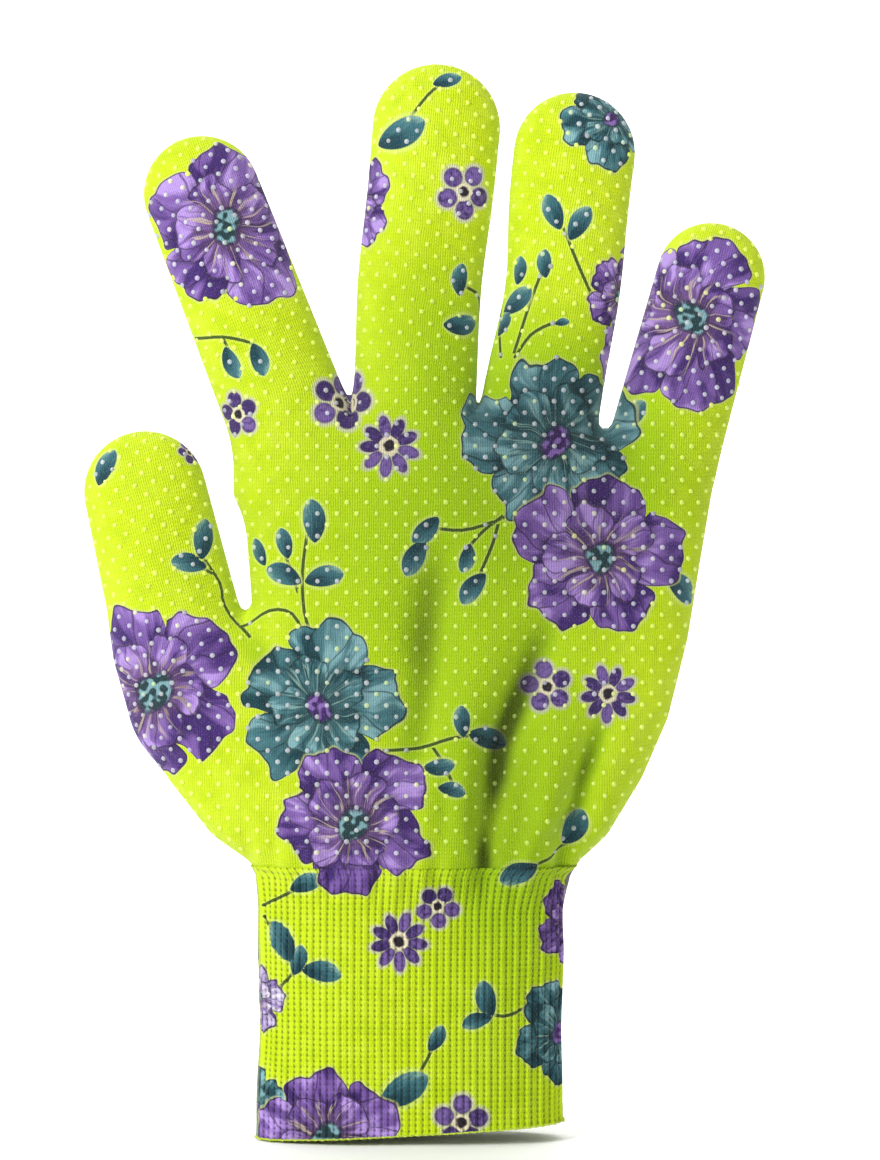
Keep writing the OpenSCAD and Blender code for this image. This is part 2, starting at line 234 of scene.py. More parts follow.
def edge_distance():
    """Distance from the glove's outline, positive inside and without ridges."""
    field = smooth_min(polygon_distance(PLANE_X, PLANE_Z, LOWER_HAND),
                       polygon_distance(PLANE_X, PLANE_Z, UPPER_HAND), 1.0)
    for finger in FINGERS.values():
        field = smooth_min(field, finger_distance(PLANE_X, PLANE_Z, finger), finger.join)
    field = blur(field, 1.2)

    # away from the edge the distance comes from an inverse-fourth-power sum over the outline
    middles, lengths = outline_segments(field)
    cells = np.nonzero(field < 0.2)
    x, z = PLANE_X[cells], PLANE_Z[cells]
    total = np.zeros(len(x))
    batch = 8000
    for start in range(0, len(x), batch):
        e = slice(start, start + batch)
        r2 = (x[e, None] - middles[None, :, 0]) ** 2 + (z[e, None] - middles[None, :, 1]) ** 2
        r2 = r2 + 0.02
        total[e] = (lengths[None, :] / (r2 * r2)).sum(1)
    deep = np.zeros(field.shape)
    deep[cells] = (math.pi / 2 / total) ** (1 / 3.0)
    depth = (-field - 1.0) / 2.0
    t = smooth(depth)
    dist = np.where(field > 0, -field, -field * (1 - t) + deep * t)
    return blur(dist, 1.2) * unit(depth) + dist * (1 - unit(depth))


# Half thickness squared rises from the edge to ROUND_TOP, at a rate set by ROUND_LENGTH
ROUND_TOP, ROUND_LENGTH = 100.0, 11.0


def half_thickness_squared(d, x, z):
    """From distance d inside the edge."""
    square = np.where(d > 0, ROUND_TOP * (1 - np.exp(-np.maximum(d, 0) / ROUND_LENGTH)),
                      d * ROUND_TOP / ROUND_LENGTH)
    fingers = smooth((z - 135) / 30)
    thumb = unit((-x - 40) / 14) * unit((z - 98) / 14)
    wrist = np.exp(-((z - 57) / 9.0) ** 2)
    # fingers and thumb are flatter than the hand, and the wrist is narrower front to back
    return square * (1 - 0.14 * fingers - 0.06 * thumb * (1 - fingers)) * (1 - 0.10 * wrist)


EDGE = edge_distance()
EDGE_DX, EDGE_DZ = np.gradient(EDGE, GRID)
THICK2 = half_thickness_squared(EDGE, PLANE_X, PLANE_Z)
THICK2_DX, THICK2_DZ = np.gradient(THICK2, GRID)


def sample(grid, x, z):
    """Bilinear sample of a plane grid."""
    u = np.clip((x - X_MIN) / GRID, 0, len(grid_x) - 1.001)
    v = np.clip((z - Z_MIN) / GRID, 0, len(grid_z) - 1.001)
    i, j = u.astype(int), v.astype(int)
    fu, fv = u - i, v - j
    return (grid[i, j] * (1 - fu) * (1 - fv) + grid[i + 1, j] * fu * (1 - fv)
            + grid[i, j + 1] * (1 - fu) * fv + grid[i + 1, j + 1] * fu * fv)


def skin_normal(x, y, z):
    return normalise(np.stack([-sample(THICK2_DX, x, z), 2 * y, -sample(THICK2_DZ, x, z)], 1))


# ------------------------------------------------------------------ smooth skin
BLOCK, BLOCK_BOTTOM = 1.0, 30


def make_mesh(name, verts, faces):
    """Mesh from arrays: verts in millimetres, faces all quads."""
    me = bpy.data.meshes.new(name)
    faces = np.asarray(faces, np.int32)
    me.vertices.add(len(verts))
    me.vertices.foreach_set("co", (np.asarray(verts, float) * MM).astype(np.float32).ravel())
    me.loops.add(faces.size)
    me.loops.foreach_set("vertex_index", faces.ravel())
    me.polygons.add(len(faces))
    me.polygons.foreach_set("loop_start", np.arange(0, faces.size, 4, dtype=np.int32))
    me.update(calc_edges=True)
    me.validate()
    return me


def block_hand():
    """Closed hand with a stepped outline: a palm sheet, a back sheet and walls between them."""
    nx = int((X_MAX - X_MIN) / BLOCK)
    nz = int((Z_MAX - BLOCK_BOTTOM) / BLOCK)
    mid_x, mid_z = np.meshgrid(X_MIN + (np.arange(nx) + 0.5) * BLOCK,
                               BLOCK_BOTTOM + (np.arange(nz) + 0.5) * BLOCK, indexing="ij")
    filled = sample(EDGE, mid_x, mid_z) > 0.35
    x, z = np.meshgrid(X_MIN + np.arange(nx + 1) * BLOCK,
                       BLOCK_BOTTOM + np.arange(nz + 1) * BLOCK, indexing="ij")
    y = np.sqrt(np.maximum(sample(THICK2, x, z), 0.6))
    used = np.zeros((nx + 1, nz + 1), bool)
    fi, fj = np.nonzero(filled)
    for di in (0, 1):
        for dj in (0, 1):
            used[fi + di, fj + dj] = True
    index = -np.ones((nx + 1, nz + 1), int)
    count = used.sum()
    index[used] = np.arange(count)
    palm = np.stack([x[used], -y[used], z[used]], 1)
    quads = np.stack([index[fi, fj], index[fi + 1, fj],
                      index[fi + 1, fj + 1], index[fi, fj + 1]], 1)
    faces = [quads, quads[:, ::-1] + count]
    padded = np.pad(filled, 1)
    # walls: step to the neighbour, then the two cell corners of the shared side
    for di, dj, a, b in ((-1, 0, (0, 1), (0, 0)), (1, 0, (1, 0), (1, 1)),
                         (0, -1, (0, 0), (1, 0)), (0, 1, (1, 1), (0, 1))):
        i, j = np.nonzero(filled & ~padded[1 + di:1 + di + nx, 1 + dj:1 + dj + nz])
        v0, v1 = index[i + a[0], j + a[1]], index[i + b[0], j + b[1]]
        faces.append(np.stack([v0, v0 + count, v1 + count, v1], 1)[:, ::-1])
    return np.vstack([palm, palm * [1, -1, 1]]), np.vstack(faces)


def remeshed(verts, faces):
    """Vertices and quads after a voxel remesh."""
    o = bpy.data.objects.new("crude", make_mesh("crude", verts, faces))
    bpy.context.scene.collection.objects.link(o)
    modifier = o.modifiers.new("r", "REMESH")
    modifier.mode = "VOXEL"
    modifier.voxel_size = 1.0 * MM
    graph = bpy.context.evaluated_depsgraph_get()
    me = bpy.data.meshes.new_from_object(o.evaluated_get(graph))
    bpy.data.objects.remove(o)
    co = np.empty(len(me.vertices) * 3, np.float32)
    me.vertices.foreach_get("co", co)
    corners = np.empty(len(me.loops), np.int32)
    me.loops.foreach_get("vertex_index", corners)
    return co.reshape(-1, 3).astype(float) / MM, corners.reshape(-1, 4)


def project(verts, times):
    """Newton steps, at most 1 mm each, onto the rounded hand."""
    for _ in range(times):
        x, y, z = verts.T
        error = sample(THICK2, x, z) - y ** 2
        grad = np.stack([sample(THICK2_DX, x, z), -2 * y, sample(THICK2_DZ, x, z)], 1)
        move = (-error / ((grad ** 2).sum(1) + 1e-3))[:, None] * grad
        length = np.linalg.norm(move, axis=1, keepdims=True)
        verts = verts + move * np.minimum(1, 1.0 / np.maximum(length, 1e-9))
    return verts


def smooth_skin(verts, faces):
    """Evens out the mesh while it stays on the rounded hand."""
    edges = np.vstack([faces[:, [i, (i + 1) % 4]] for i in range(4)])
    edges = np.unique(np.sort(edges, 1), axis=0)
    neighbours = np.bincount(edges.ravel(), minlength=len(verts)).astype(float)
    verts = project(verts, 4)
    for _ in range(10):
        total = np.zeros_like(verts)
        np.add.at(total, edges[:, 0], verts[edges[:, 1]])
        np.add.at(total, edges[:, 1], verts[edges[:, 0]])
        verts = project(verts * 0.5 + 0.5 * total / neighbours[:, None], 2)
    return project(verts, 3)


block_verts, QUADS = remeshed(*block_hand())
BASE = smooth_skin(block_verts, QUADS)          # before creases

# ------------------------------------------------------------------ flattened cloth coordinates
# The print and the stitches are laid out on cloth lying flat: near the edges a point moves
# outwards by the length of arc that rolls round.
EDGE_BAND = 10
band = np.linspace(0, EDGE_BAND, 401)
band_y = np.sqrt(0.9 * ROUND_TOP * (1 - np.exp(-band / ROUND_LENGTH)))
band_arc = np.concatenate([[0], np.cumsum(np.hypot(np.diff(band), np.diff(band_y)))])
band_shift = (band_arc[-1] - band_arc) - (EDGE_BAND - band)


def flatten(x, z):
    """Place on the flattened cloth of a point of the hand."""
    shift = np.interp(sample(EDGE, x, z), band, band_shift)
    out_x, out_z = -sample(EDGE_DX, x, z), -sample(EDGE_DZ, x, z)
    length = np.hypot(out_x, out_z) + 1e-6
    return x + out_x / length * shift, z + out_z / length * shift


def unflatten(p, q):
    x, z = p.copy(), q.copy()
    for _ in range(14):
        a, b = flatten(x, z)
        x, z = x + 0.7 * (p - a), z + 0.7 * (q - b)
    return x, z


# ------------------------------------------------------------------ which piece
WRIST_Z, WRIST_HALF = 60.0, 11.0
PALM, WRIST = 0, 1
PIECE_NAMES = ["palm", "wrist"] + [f"{name}_{part}" for name, finger in FINGERS.items()
                                   for part in finger.parts]
# Borders between neighbouring fingers: x up to z = 160, and its slope above that
FINGER_BORDERS = [(-13.9, -0.135), (15.3, 0.107), (42.4, 0.19)]


def finger_of(x, z):
    """Number of the finger whose column a point is in, whatever its height."""
    number = np.full(x.shape, 0)
    for i, (border, slope) in enumerate(FINGER_BORDERS):
        number = np.where(x > border + np.maximum(0, z - 160) * slope, i + 1, number)
    thumb_x = np.where(z < 114, -34.0, -35.0 - (z - 114) * 0.17)
    return np.where((x < thumb_x) & (z > 84) & (z < 160), THUMB, number)


def piece_of(x, z):
    """Number in PIECE_NAMES of the piece that a point of skin belongs to."""
    number = finger_of(x, z)
    out = np.where(z < WRIST_Z + WRIST_HALF + 1, WRIST, PALM)
    first = 2
    for i, finger in enumerate(FINGERS.values()):
        zones, heights = finger.zones, finger.heights
        section = np.where(finger.past_fold(0, x, z) >= zones[0][0], 0, -1)
        for j in range(1, len(heights)):
            # the cut is half way between two bending zones
            gap = (heights[j] + zones[j][0] - (heights[j - 1] + zones[j - 1][1])) / 2
            section = np.where(finger.past_fold(j, x, z) >= zones[j][0] - gap, j, section)
        mine = (number == i) & (z > 90) & (section >= 0)
        out = np.where(mine, first + section, out)
        first += len(heights)
    return out


# ------------------------------------------------------------------ relief: folds and slack
# (points from top to bottom, depth, half width, share of the way where it is deepest)
PALM_FOLDS = [
    ([(31.0, 120.0), (24.5, 101.0), (19.0, 86.0), (15.5, 60.0)], 3.9, 3.1, 0.66),
    ([(42.5, 96.0), (37.0, 80.0), (31.0, 60.0)], 2.7, 2.2, 0.66),
    ([(5.5, 136.0), (3.0, 112.0), (1.0, 84.0)], 1.9, 3.8, 0.5),
    ([(28.0, 92.0), (25.0, 78.0), (23.0, 66.0)], 0.9, 1.8, 0.6),
    ([(8.5, 88.0), (7.0, 74.0), (6.0, 60.0)], 1.5, 1.7, 0.8),
    ([(-8.0, 80.0), (-7.0, 60.0)], 0.9, 1.5, 0.8),
    ([(24.0, 78.0), (22.5, 60.0)], 1.1, 1.4, 0.8),
    ([(-20.0, 74.0), (-17.5, 60.0)], 0.8, 1.4, 0.8),
    ([(1.0, 74.0), (0.0, 60.0)], 0.8, 1.1, 0.8),
    ([(40.5, 76.0), (28.0, 66.0), (26.5, 60.0)], 0.9, 1.3, 0.6),
    ([(-37.0, 112.0), (-31.0, 101.0), (-27.0, 88.0)], 0.8, 2.6, 0.4),
    ([(-24.0, 156.0), (-13.0, 151.0), (-2.0, 154.0)], 0.35, 2.2, 0.5),
    ([(20.0, 158.0), (34.0, 153.0), (47.0, 150.0)], 0.35, 2.4, 0.5),
]
BACK_FOLDS = [
    ([(-18.0, 92.0), (-14.0, 60.0)], 1.1, 2.2, 0.75),
    ([(-4.0, 86.0), (-2.0, 60.0)], 1.0, 1.8, 0.75),
    ([(10.0, 95.0), (9.0, 60.0)], 1.2, 2.2, 0.75),
    ([(22.0, 84.0), (20.0, 60.0)], 0.9, 1.8, 0.75),
    ([(33.0, 80.0), (28.0, 60.0)], 0.7, 1.5, 0.75),
    ([(-39.0, 112.0), (-32.0, 99.0), (-25.0, 88.0)], 0.8, 2.6, 0.4),
]
GATHER_Z = 60.5                # the hand is gathered into the cuff here
PLEAT_PITCH = 5.6


def to_polyline(x, z, points):
    """Distance to a polyline and the share of the way along it."""
    points = np.array(points, float)
    lengths = np.concatenate([[0], np.cumsum(np.hypot(*np.diff(points, axis=0).T))])
    nearest = np.full(x.shape, 1e9)
    way = np.zeros(x.shape)
    for i in range(len(points) - 1):
        t, dx, dz = to_segment(x, z, *points[i], *points[i + 1])
        d = np.hypot(dx, dz)
        here = (lengths[i] + t * (lengths[i + 1] - lengths[i])) / lengths[-1]
        way = np.where(d < nearest, here, way)
        nearest = np.minimum(nearest, d)
    return nearest, way


def lump(x, z, cell, seed):
    """Smooth random field, about -1 to 1."""
    values = np.random.default_rng(seed).uniform(-1, 1, (64, 64))
    u, v = (x + 200) / cell, (z + 40) / cell
    i, j = np.floor(u).astype(int), np.floor(v).astype(int)
    a, b = smooth(u - i), smooth(v - j)
    i, j, i1, j1 = i % 64, j % 64, (i + 1) % 64, (j + 1) % 64
    return (values[i, j] * (1 - a) * (1 - b) + values[i1, j] * a * (1 - b)
            + values[i, j1] * (1 - a) * b + values[i1, j1] * a * b)


def relief(x, z, side):
    """Outward displacement; side is -1 on the palm, +1 on the back."""
    z = np.maximum(z, GATHER_Z)              # the top of the cuff takes the same shape
    out = np.zeros(x.shape)
    for folds, fold_side in ((PALM_FOLDS, -1), (BACK_FOLDS, 1)):
        total = np.zeros(x.shape)
        for points, depth, width, peak in folds:
            d, way = to_polyline(x, z, points)
            share = np.where(way < peak, way / peak, 1 - 0.38 * (way - peak) / (1 - peak))
            share = np.sin(unit(share) * math.pi / 2)
            ridge = 2.6 * width              # a low ridge runs along each side of the fold
            total -= depth * share * bell(d, width)
            total += 0.42 * depth * share * (bell(d - ridge, 1.7 * width)
                                             + bell(d + ridge, 1.7 * width))
        out += np.where(side * fold_side > 0, total, 0)
    # small pleats just above the cuff, then a puff of fabric
    phase = x * (TURN / PLEAT_PITCH) + 2.2 * lump(x, z, 23, 3) + np.where(side > 0, 1.3, 0)
    out += 0.42 * bell(z - GATHER_Z, 5.5) * np.sin(phase)
    out += 0.9 * bell(z - 69, 5.5)
    # slack, less of it on the fingers
    slack = np.where(z > 150, 0.16, 0.30)
    out += slack * (lump(x + 31 * (side > 0), z, 15, 11)
                    + 0.5 * lump(x, z + 17 * (side > 0), 7, 12))
    return out * unit(sample(EDGE, x, z) / 3.0)


BASE_X, BASE_Y, BASE_Z = BASE.T
BASE_SIDE = np.where(BASE_Y < 0, -1.0, 1.0)
BASE_RELIEF = relief(BASE_X, BASE_Z, BASE_SIDE)
SKIN = BASE + skin_normal(BASE_X, BASE_Y, BASE_Z) * BASE_RELIEF[:, None]

# ------------------------------------------------------------------ printed motifs
# Places are (x, z) on the flattened palm side.
# Flowers: x, z, radius, kind (0 purple, 1 teal, 2 pale), turn in radians, seed
TEAL_KIND = 1
FLOWERS = [
    (-39.8, 197.8, 18.6, 0, 0.35, 1), (59.6, 177.6, 19.2, 0, 1.2, 2),
    (40.2, 126.4, 18.2, 0, 0.1, 3), (-56.0, 97.6, 19.8, 0, 2.0, 4),
    (-12.6, 69.8, 17.4, 0, 0.8, 5), (-18.8, 0.4, 16.2, 0, 1.7, 6),
    (-16.6, 204.0, 12.2, 0, 0.5, 7), (47.0, 183.0, 9.0, 0, 2.4, 8),
    (-35.6, 30.5, 8.4, 2, 0.2, 9), (36.2, 47.6, 9.8, 0, 1.1, 10),
    (30.0, 151.6, 19.0, 1, 0.5, 11), (-20.0, 94.2, 17.8, 1, 1.4, 12),
    (43.4, 221.6, 11.4, 1, 0.9, 13), (33.4, 23.6, 12.6, 1, 2.2, 14),
    (-35.4, 6.4, 9.8, 1, 0.4, 15),
]
# Small flowers: x, z, radius, petals, seed
SMALL_FLOWERS = [
    (11.4, 205.3, 6.2, 5, 21), (-15.2, 160.2, 6.8, 5, 22), (-5.0, 150.4, 6.8, 9, 23),
    (29.0, 98.6, 5.6, 5, 24), (42.2, 97.0, 6.4, 9, 25), (5.4, 51.4, 4.8, 5, 26),
    (-2.8, 43.8, 6.4, 9, 27), (10.8, 4.9, 6.0, 5, 28), (-38.2, 157.2, 5.2, 5, 29),
    (-47.0, 150.4, 3.4, 5, 30),
]
# Leaves: x, z, half length, direction in degrees
LEAVES = [
    (7.7, 230.0, 3.4, 20), (-2.8, 218.2, 6.0, 24), (10.8, 186.4, 3.5, 85),
    (11.0, 176.9, 4.2, 5), (30.4, 200.9, 4.1, 112), (36.2, 198.4, 4.2, 58),
    (22.4, 188.6, 3.1, 82), (28.6, 189.8, 3.1, 92), (21.9, 182.1, 4.3, 35),
    (18.6, 177.4, 3.0, 60), (32.4, 177.0, 1.6, 10), (-39.0, 168.4, 3.7, -65),
    (-33.1, 169.0, 3.7, -70), (-44.5, 130.5, 4.5, 80), (-48.0, 125.0, 4.0, 172),
    (-66.7, 146.2, 4.5, 68), (-21.3, 134.2, 4.7, 95), (-27.6, 129.4, 3.4, 105),
    (-33.6, 127.5, 3.2, 115), (-27.9, 122.4, 4.3, 160), (-18.9, 122.0, 4.3, 12),
    (3.0, 132.0, 4.0, 228), (0.7, 126.2, 4.3, 242), (11.6, 126.2, 3.2, 255),
    (13.2, 119.6, 4.1, 232), (10.8, 91.2, 3.4, 95), (16.2, 87.4, 4.3, -18),
    (5.8, 81.6, 3.4, 8), (8.5, 76.4, 3.0, -12), (34.9, 68.1, 4.3, 62),
    (22.6, 58.6, 4.3, 208), (58.6, 119.6, 4.8, -42), (46.4, 157.4, 4.6, 35),
    (-22.6, 56.1, 3.8, 22), (-27.9, 43.4, 5.0, 122), (-24.4, 39.6, 3.4, 75),
    (-19.2, 37.0, 4.3, -8), (5.3, 23.0, 3.1, 62), (-1.6, 11.8, 6.0, 32),
    (16.0, 31.4, 4.1, 104), (14.0, 26.6, 3.3, 198), (26.8, 27.4, 3.3, -30),
]
# Stems: points (x, z) of each curve
STEMS = [
    [(6.9, 229.4), (3.4, 226.4), (-0.9, 220.8)],
    [(12.5, 184.7), (16.3, 182.5), (17.6, 175.2), (18.3, 170.9)],
    [(33.1, 196.3), (35.7, 189.8), (38.7, 183.4), (41.7, 177.8)],
    [(27.5, 187.3), (24.9, 180.6), (21.9, 171.4)],
    [(22.4, 170.5), (25.4, 174.4), (29.2, 176.5), (32.2, 177.2)],
    [(-47.7, 173.5), (-40.9, 173.9), (-34.8, 172.6), (-33.1, 170.9)],
    [(-40.9, 173.5), (-39.6, 170.9)],
    [(-44.9, 126.6), (-40.9, 121.0), (-40.0, 116.3), (-35.7, 110.3)],
    [(-46.4, 124.9), (-43.0, 123.2)],
    [(-22.8, 130.1), (-23.6, 123.2), (-23.2, 114.6), (-21.0, 108.0)],
    [(-27.3, 126.6), (-24.9, 119.8)],
    [(-37.0, 112.0), (-31.0, 115.0), (-25.8, 114.2), (-22.8, 108.6)],
    [(4.3, 132.7), (10.8, 132.2), (17.2, 133.9), (24.1, 137.0)],
    [(1.7, 129.0), (5.2, 131.8)],
    [(12.5, 129.0), (15.5, 132.2), (18.9, 134.8)],
    [(14.6, 122.8), (17.2, 129.0), (18.5, 133.5)],
    [(-5.2, 84.9), (1.7, 85.4), (8.2, 87.5), (13.8, 88.4)],
    [(4.3, 85.8), (6.9, 81.9), (8.6, 78.0)],
    [(10.8, 88.2), (9.9, 89.7)],
    [(24.1, 59.6), (28.8, 61.7), (33.5, 64.3)],
    [(-32.2, 51.4), (-27.5, 53.5), (-23.2, 55.7)],
    [(-32.2, 47.9), (-29.2, 44.1), (-25.4, 38.1), (-20.2, 37.2)],
    [(-32.2, 32.0), (-27.9, 34.2), (-24.1, 38.5)],
    [(4.7, 21.3), (2.6, 17.0), (-1.7, 11.4), (-9.9, 7.1)],
    [(15.0, 29.0), (19.8, 27.7), (24.5, 29.5)],
    [(41.7, 142.1), (40.3, 134.4)],
    [(48.0, 137.0), (56.0, 126.0), (60.0, 118.5)],
    [(44.0, 154.0), (40.0, 148.0)],
]
BACK_SLIDE_X, BACK_SLIDE_Z, BACK_WRAP = 4.0, 26.0, 236
BACK_SEED = 40


def smooth_curve(points, steps):
    """Catmull-Rom curve through the points; two points stay a straight line."""
    points = np.array(points, float)
    if len(points) < 3:
        return points
    q = np.vstack([2 * points[0] - points[1], points, 2 * points[-1] - points[-2]])
    out = []
    for a, b, c, d in zip(q[:-3], q[1:-2], q[2:-1], q[3:]):
        for t in np.linspace(0, 1, steps, endpoint=False):
            out.append(0.5 * (2 * b + (c - a) * t + (2 * a - 5 * b + 4 * c - d) * t * t
                              + (3 * b - a - 3 * c + d) * t ** 3))
    out.append(points[-1])
    return np.array(out)


def motif_tables(back):
    """Arrays of flowers, small flowers, leaves and stem pieces for one side of the glove.
    The back carries the same print mirrored and slid along."""
    def place(x, z):
        if not back:
            return x, z
        z = z + BACK_SLIDE_Z
        return -x + BACK_SLIDE_X, z if z < BACK_WRAP else z - BACK_WRAP

    more = BACK_SEED if back else 0
    flowers = [(*place(x, z), radius, kind, -turn if back else turn, seed + more)
               for x, z, radius, kind, turn, seed in FLOWERS]
    small = [(*place(x, z), radius, petals, seed + more)
             for x, z, radius, petals, seed in SMALL_FLOWERS]
    leaves = [(*place(x, z), half, math.radians(180 - angle if back else angle), i)
              for i, (x, z, half, angle) in enumerate(LEAVES)]
    stems = []
    for line in STEMS:
        points = np.array([place(*point) for point in smooth_curve(line, 3)])
        for a, b in zip(points[:-1], points[1:]):
            if np.hypot(*(b - a)) < 12:          # leaves out a piece that wraps round
                stems.append((*a, *b))
    return [np.array(table) for table in (flowers, small, leaves, stems)]


TABLES = {-1: motif_tables(False), 1: motif_tables(True)}


def motif_attrs(p, q, face_p, face_q, face_side):
    """Corner attributes with the place of each corner (p, q) in its face's nearest motifs.
    mA, mE: flowers but teal, teal flowers: u, v, seed. mA2, mE2: radius, kind, seed.
    mB: small flower u, v, seed. mB2: petals, radius, seed. mC: leaf along, across, number.
    mD: stem piece along, across, length."""
    attrs = {name: np.zeros((len(p), 3), np.float32)
             for name in ("mA", "mA2", "mE", "mE2", "mB", "mB2", "mC", "mD")}
    for side, (flowers, small, leaves, stems) in TABLES.items():
        faces = face_side == side
        if not faces.any():
            continue
        corners = np.repeat(faces, 4)
        fp, fq = face_p[faces], face_q[faces]
        cp, cq = p[corners], q[corners]

        def nearest(table, distance):
            """For each corner, the row nearest to its face."""
            distances = np.stack([distance(row) for row in table])
            return table[np.repeat(distances.argmin(0), 4)].T

        def round_distance(row):
            return np.hypot(fp - row[0], fq - row[1]) / row[2]

        def leaf_distance(row):
            """Leaves count as ellipses half as wide as long."""
            c, s = math.cos(row[3]), math.sin(row[3])
            dx, dz = fp - row[0], fq - row[1]
            return np.hypot(dx * c + dz * s, (-dx * s + dz * c) / 0.5) / row[2]

        def stem_distance(row):
            return np.hypot(*to_segment(fp, fq, *row)[1:])

        def turned(x, z, size, angle):
            u, v = (cp - x) / size, (cq - z) / size
            c, s = np.cos(angle), np.sin(angle)
            return u * c + v * s, -u * s + v * c

        is_teal = flowers[:, 3] == TEAL_KIND
        for name, table in (("mA", flowers[~is_teal]), ("mE", flowers[is_teal])):
            x, z, radius, kind, turn, seed = nearest(table, round_distance)
            attrs[name][corners] = np.stack([*turned(x, z, radius, turn), seed], 1)
            attrs[name + "2"][corners] = np.stack([radius, kind, seed], 1)
        x, z, radius, petals, seed = nearest(small, round_distance)
        attrs["mB"][corners] = np.stack([(cp - x) / radius, (cq - z) / radius, seed], 1)
        attrs["mB2"][corners] = np.stack([petals, radius, seed], 1)
        x, z, half, angle, number = nearest(leaves, leaf_distance)
        attrs["mC"][corners] = np.stack([*turned(x, z, half, angle), number], 1)
        ax, az, bx, bz = nearest(stems, stem_distance)
        ex, ez = bx - ax, bz - az
        length = np.hypot(ex, ez)
        ex, ez = ex / length, ez / length
        dx, dz = cp - ax, cq - az
        attrs["mD"][corners] = np.stack([dx * ex + dz * ez, -dx * ez + dz * ex, length], 1)
    return attrs


def knit_coords(p, q, finger_number):
    """Stitch coordinates across and along the wales, which turn to follow each finger."""
    u, v = p.copy(), q.copy()
    for i, finger in enumerate(FINGERS.values()):
        across, along = finger.local(p, q)
        turned = smooth((along + finger.knit_overlap) / 14)
        w = np.where(finger_number == i, turned, 0)
        if i == THUMB:
            w = np.where(q < 84, 0, w)
        u = u * (1 - w) + w * (across + finger.root[0])
        v = v * (1 - w) + w * (along + finger.root[1])
    return u, v


# Patches of painted shade that darken the print on the palm side: strength, x, z, spread in x, spread in z
PAINTED_SHADE_PATCHES = [
    (0.70, 6, 128, 30, 34), (0.92, 35, 149, 17, 17), (0.45, 22, 76, 20, 20),
    (0.42, 17, 69, 6, 12), (0.28, 5, 180, 9, 13), (0.36, 24, 30, 13, 34),
    (0.06, 0, 40, 30, 30),
]


def painted_shade(x, z, side, height):
    """Depth of crease 0-1 and a painted shade factor for the print, darker in the patches and in creases;
    height is the relief.
    """
    crease = unit(-height / 1.9)
    patch_shade = sum(strength * np.exp(-0.5 * (((x - cx) / sx) ** 2 + ((z - cz) / sz) ** 2))
               for strength, cx, cz, sx, sz in PAINTED_SHADE_PATCHES)
    patch_shade = np.where(side < 0, unit(patch_shade), 0.25)
    # painted shade: the patches on the palm side, an even 0.25 on the back, and darker in creases
    tone = (1 - 0.42 * patch_shade) * (1 - 0.80 * crease ** 1.5)
    return np.stack([crease, tone, np.zeros_like(tone)], 1)


# ------------------------------------------------------------------ skin pieces
CLOTH = 1.15                   # thickness of the hand's cloth
objects = {}


def add_object(name, verts, faces, attrs=None, normals=None):
    me = make_mesh(name, verts, faces)
    for key, values in (attrs or {}).items():
        attribute = me.attributes.new(key, "FLOAT_VECTOR", "CORNER")
        attribute.data.foreach_set("vector", np.ascontiguousarray(values, np.float32).ravel())
    me.polygons.foreach_set("use_smooth", np.ones(len(me.polygons), bool))
    o = bpy.data.objects.new(name, me)
    bpy.context.scene.collection.objects.link(o)
    if normals is not None:
        me.normals_split_custom_set_from_vertices(normals.tolist())
    objects[name] = o
    return o


def vertex_normals(verts, faces):
    face_normals = np.cross(verts[faces[:, 2]] - verts[faces[:, 0]],
                            verts[faces[:, 3]] - verts[faces[:, 1]])
    out = np.zeros_like(verts)
    for i in range(4):
        np.add.at(out, faces[:, i], face_normals)
    return out / (np.linalg.norm(out, axis=1, keepdims=True) + 1e-12)


SKIN_NORMALS = vertex_normals(SKIN, QUADS)
FLAT = np.stack(flatten(BASE_X, BASE_Z), 1)
SHADE = painted_shade(BASE_X, BASE_Z, BASE_SIDE, BASE_RELIEF)
face_middle = BASE[QUADS].mean(1)
face_piece = piece_of(face_middle[:, 0], face_middle[:, 2])
face_piece[face_middle[:, 2] <= 58.6] = -1       # the cuff takes over below
face_side = np.where(face_middle[:, 1] < 0, -1, 1)
face_flat = FLAT[QUADS].mean(1)


def skin_piece(number, name):
    chosen = np.nonzero(face_piece == number)[0]
    corners = QUADS[chosen].ravel()
    used, local = np.unique(corners, return_inverse=True)
    p, q = FLAT[corners].T
    attrs = motif_attrs(p, q, *face_flat[chosen].T, face_side[chosen])
    fingers = finger_of(face_middle[chosen, 0], face_middle[chosen, 2])
    attrs["kn"] = np.stack([*knit_coords(p, q, np.repeat(fingers, 4)), BASE_Y[corners]], 1)
    attrs["sh"] = SHADE[corners]
    add_object("skin_" + name, SKIN[used], local.reshape(-1, 4), attrs, SKIN_NORMALS[used])


def lining_piece(number, name):
    """Inner face of the cloth, its stitches all laid out along the index finger."""
    corners = QUADS[face_piece == number][:, ::-1].ravel()
    used, local = np.unique(corners, return_inverse=True)
    u, v = knit_coords(*FLAT[corners].T, np.zeros(len(corners), int))
    add_object("inside_" + name, SKIN[used] - SKIN_NORMALS[used] * CLOTH, local.reshape(-1, 4),
               {"kn": np.stack([u, v, np.full(len(u), 9.0)], 1)}, -SKIN_NORMALS[used])


for number, name in enumerate(PIECE_NAMES):
    skin_piece(number, name)
for number in (PALM, WRIST):
    lining_piece(number, PIECE_NAMES[number])

# ------------------------------------------------------------------ cuff: rib knit tube
WALES = 98
COLUMNS = WALES * 6
CUFF_TOP = 59.4
ROW_STEP = 0.62
REF_Z = 45.0                   # height where the tube's ring is measured
REF_HALF = 32.65               # half width there
CUFF_X = -0.42                 # middle of the ring in x
RING_HALF = 1601               # points along the palm half of the ring

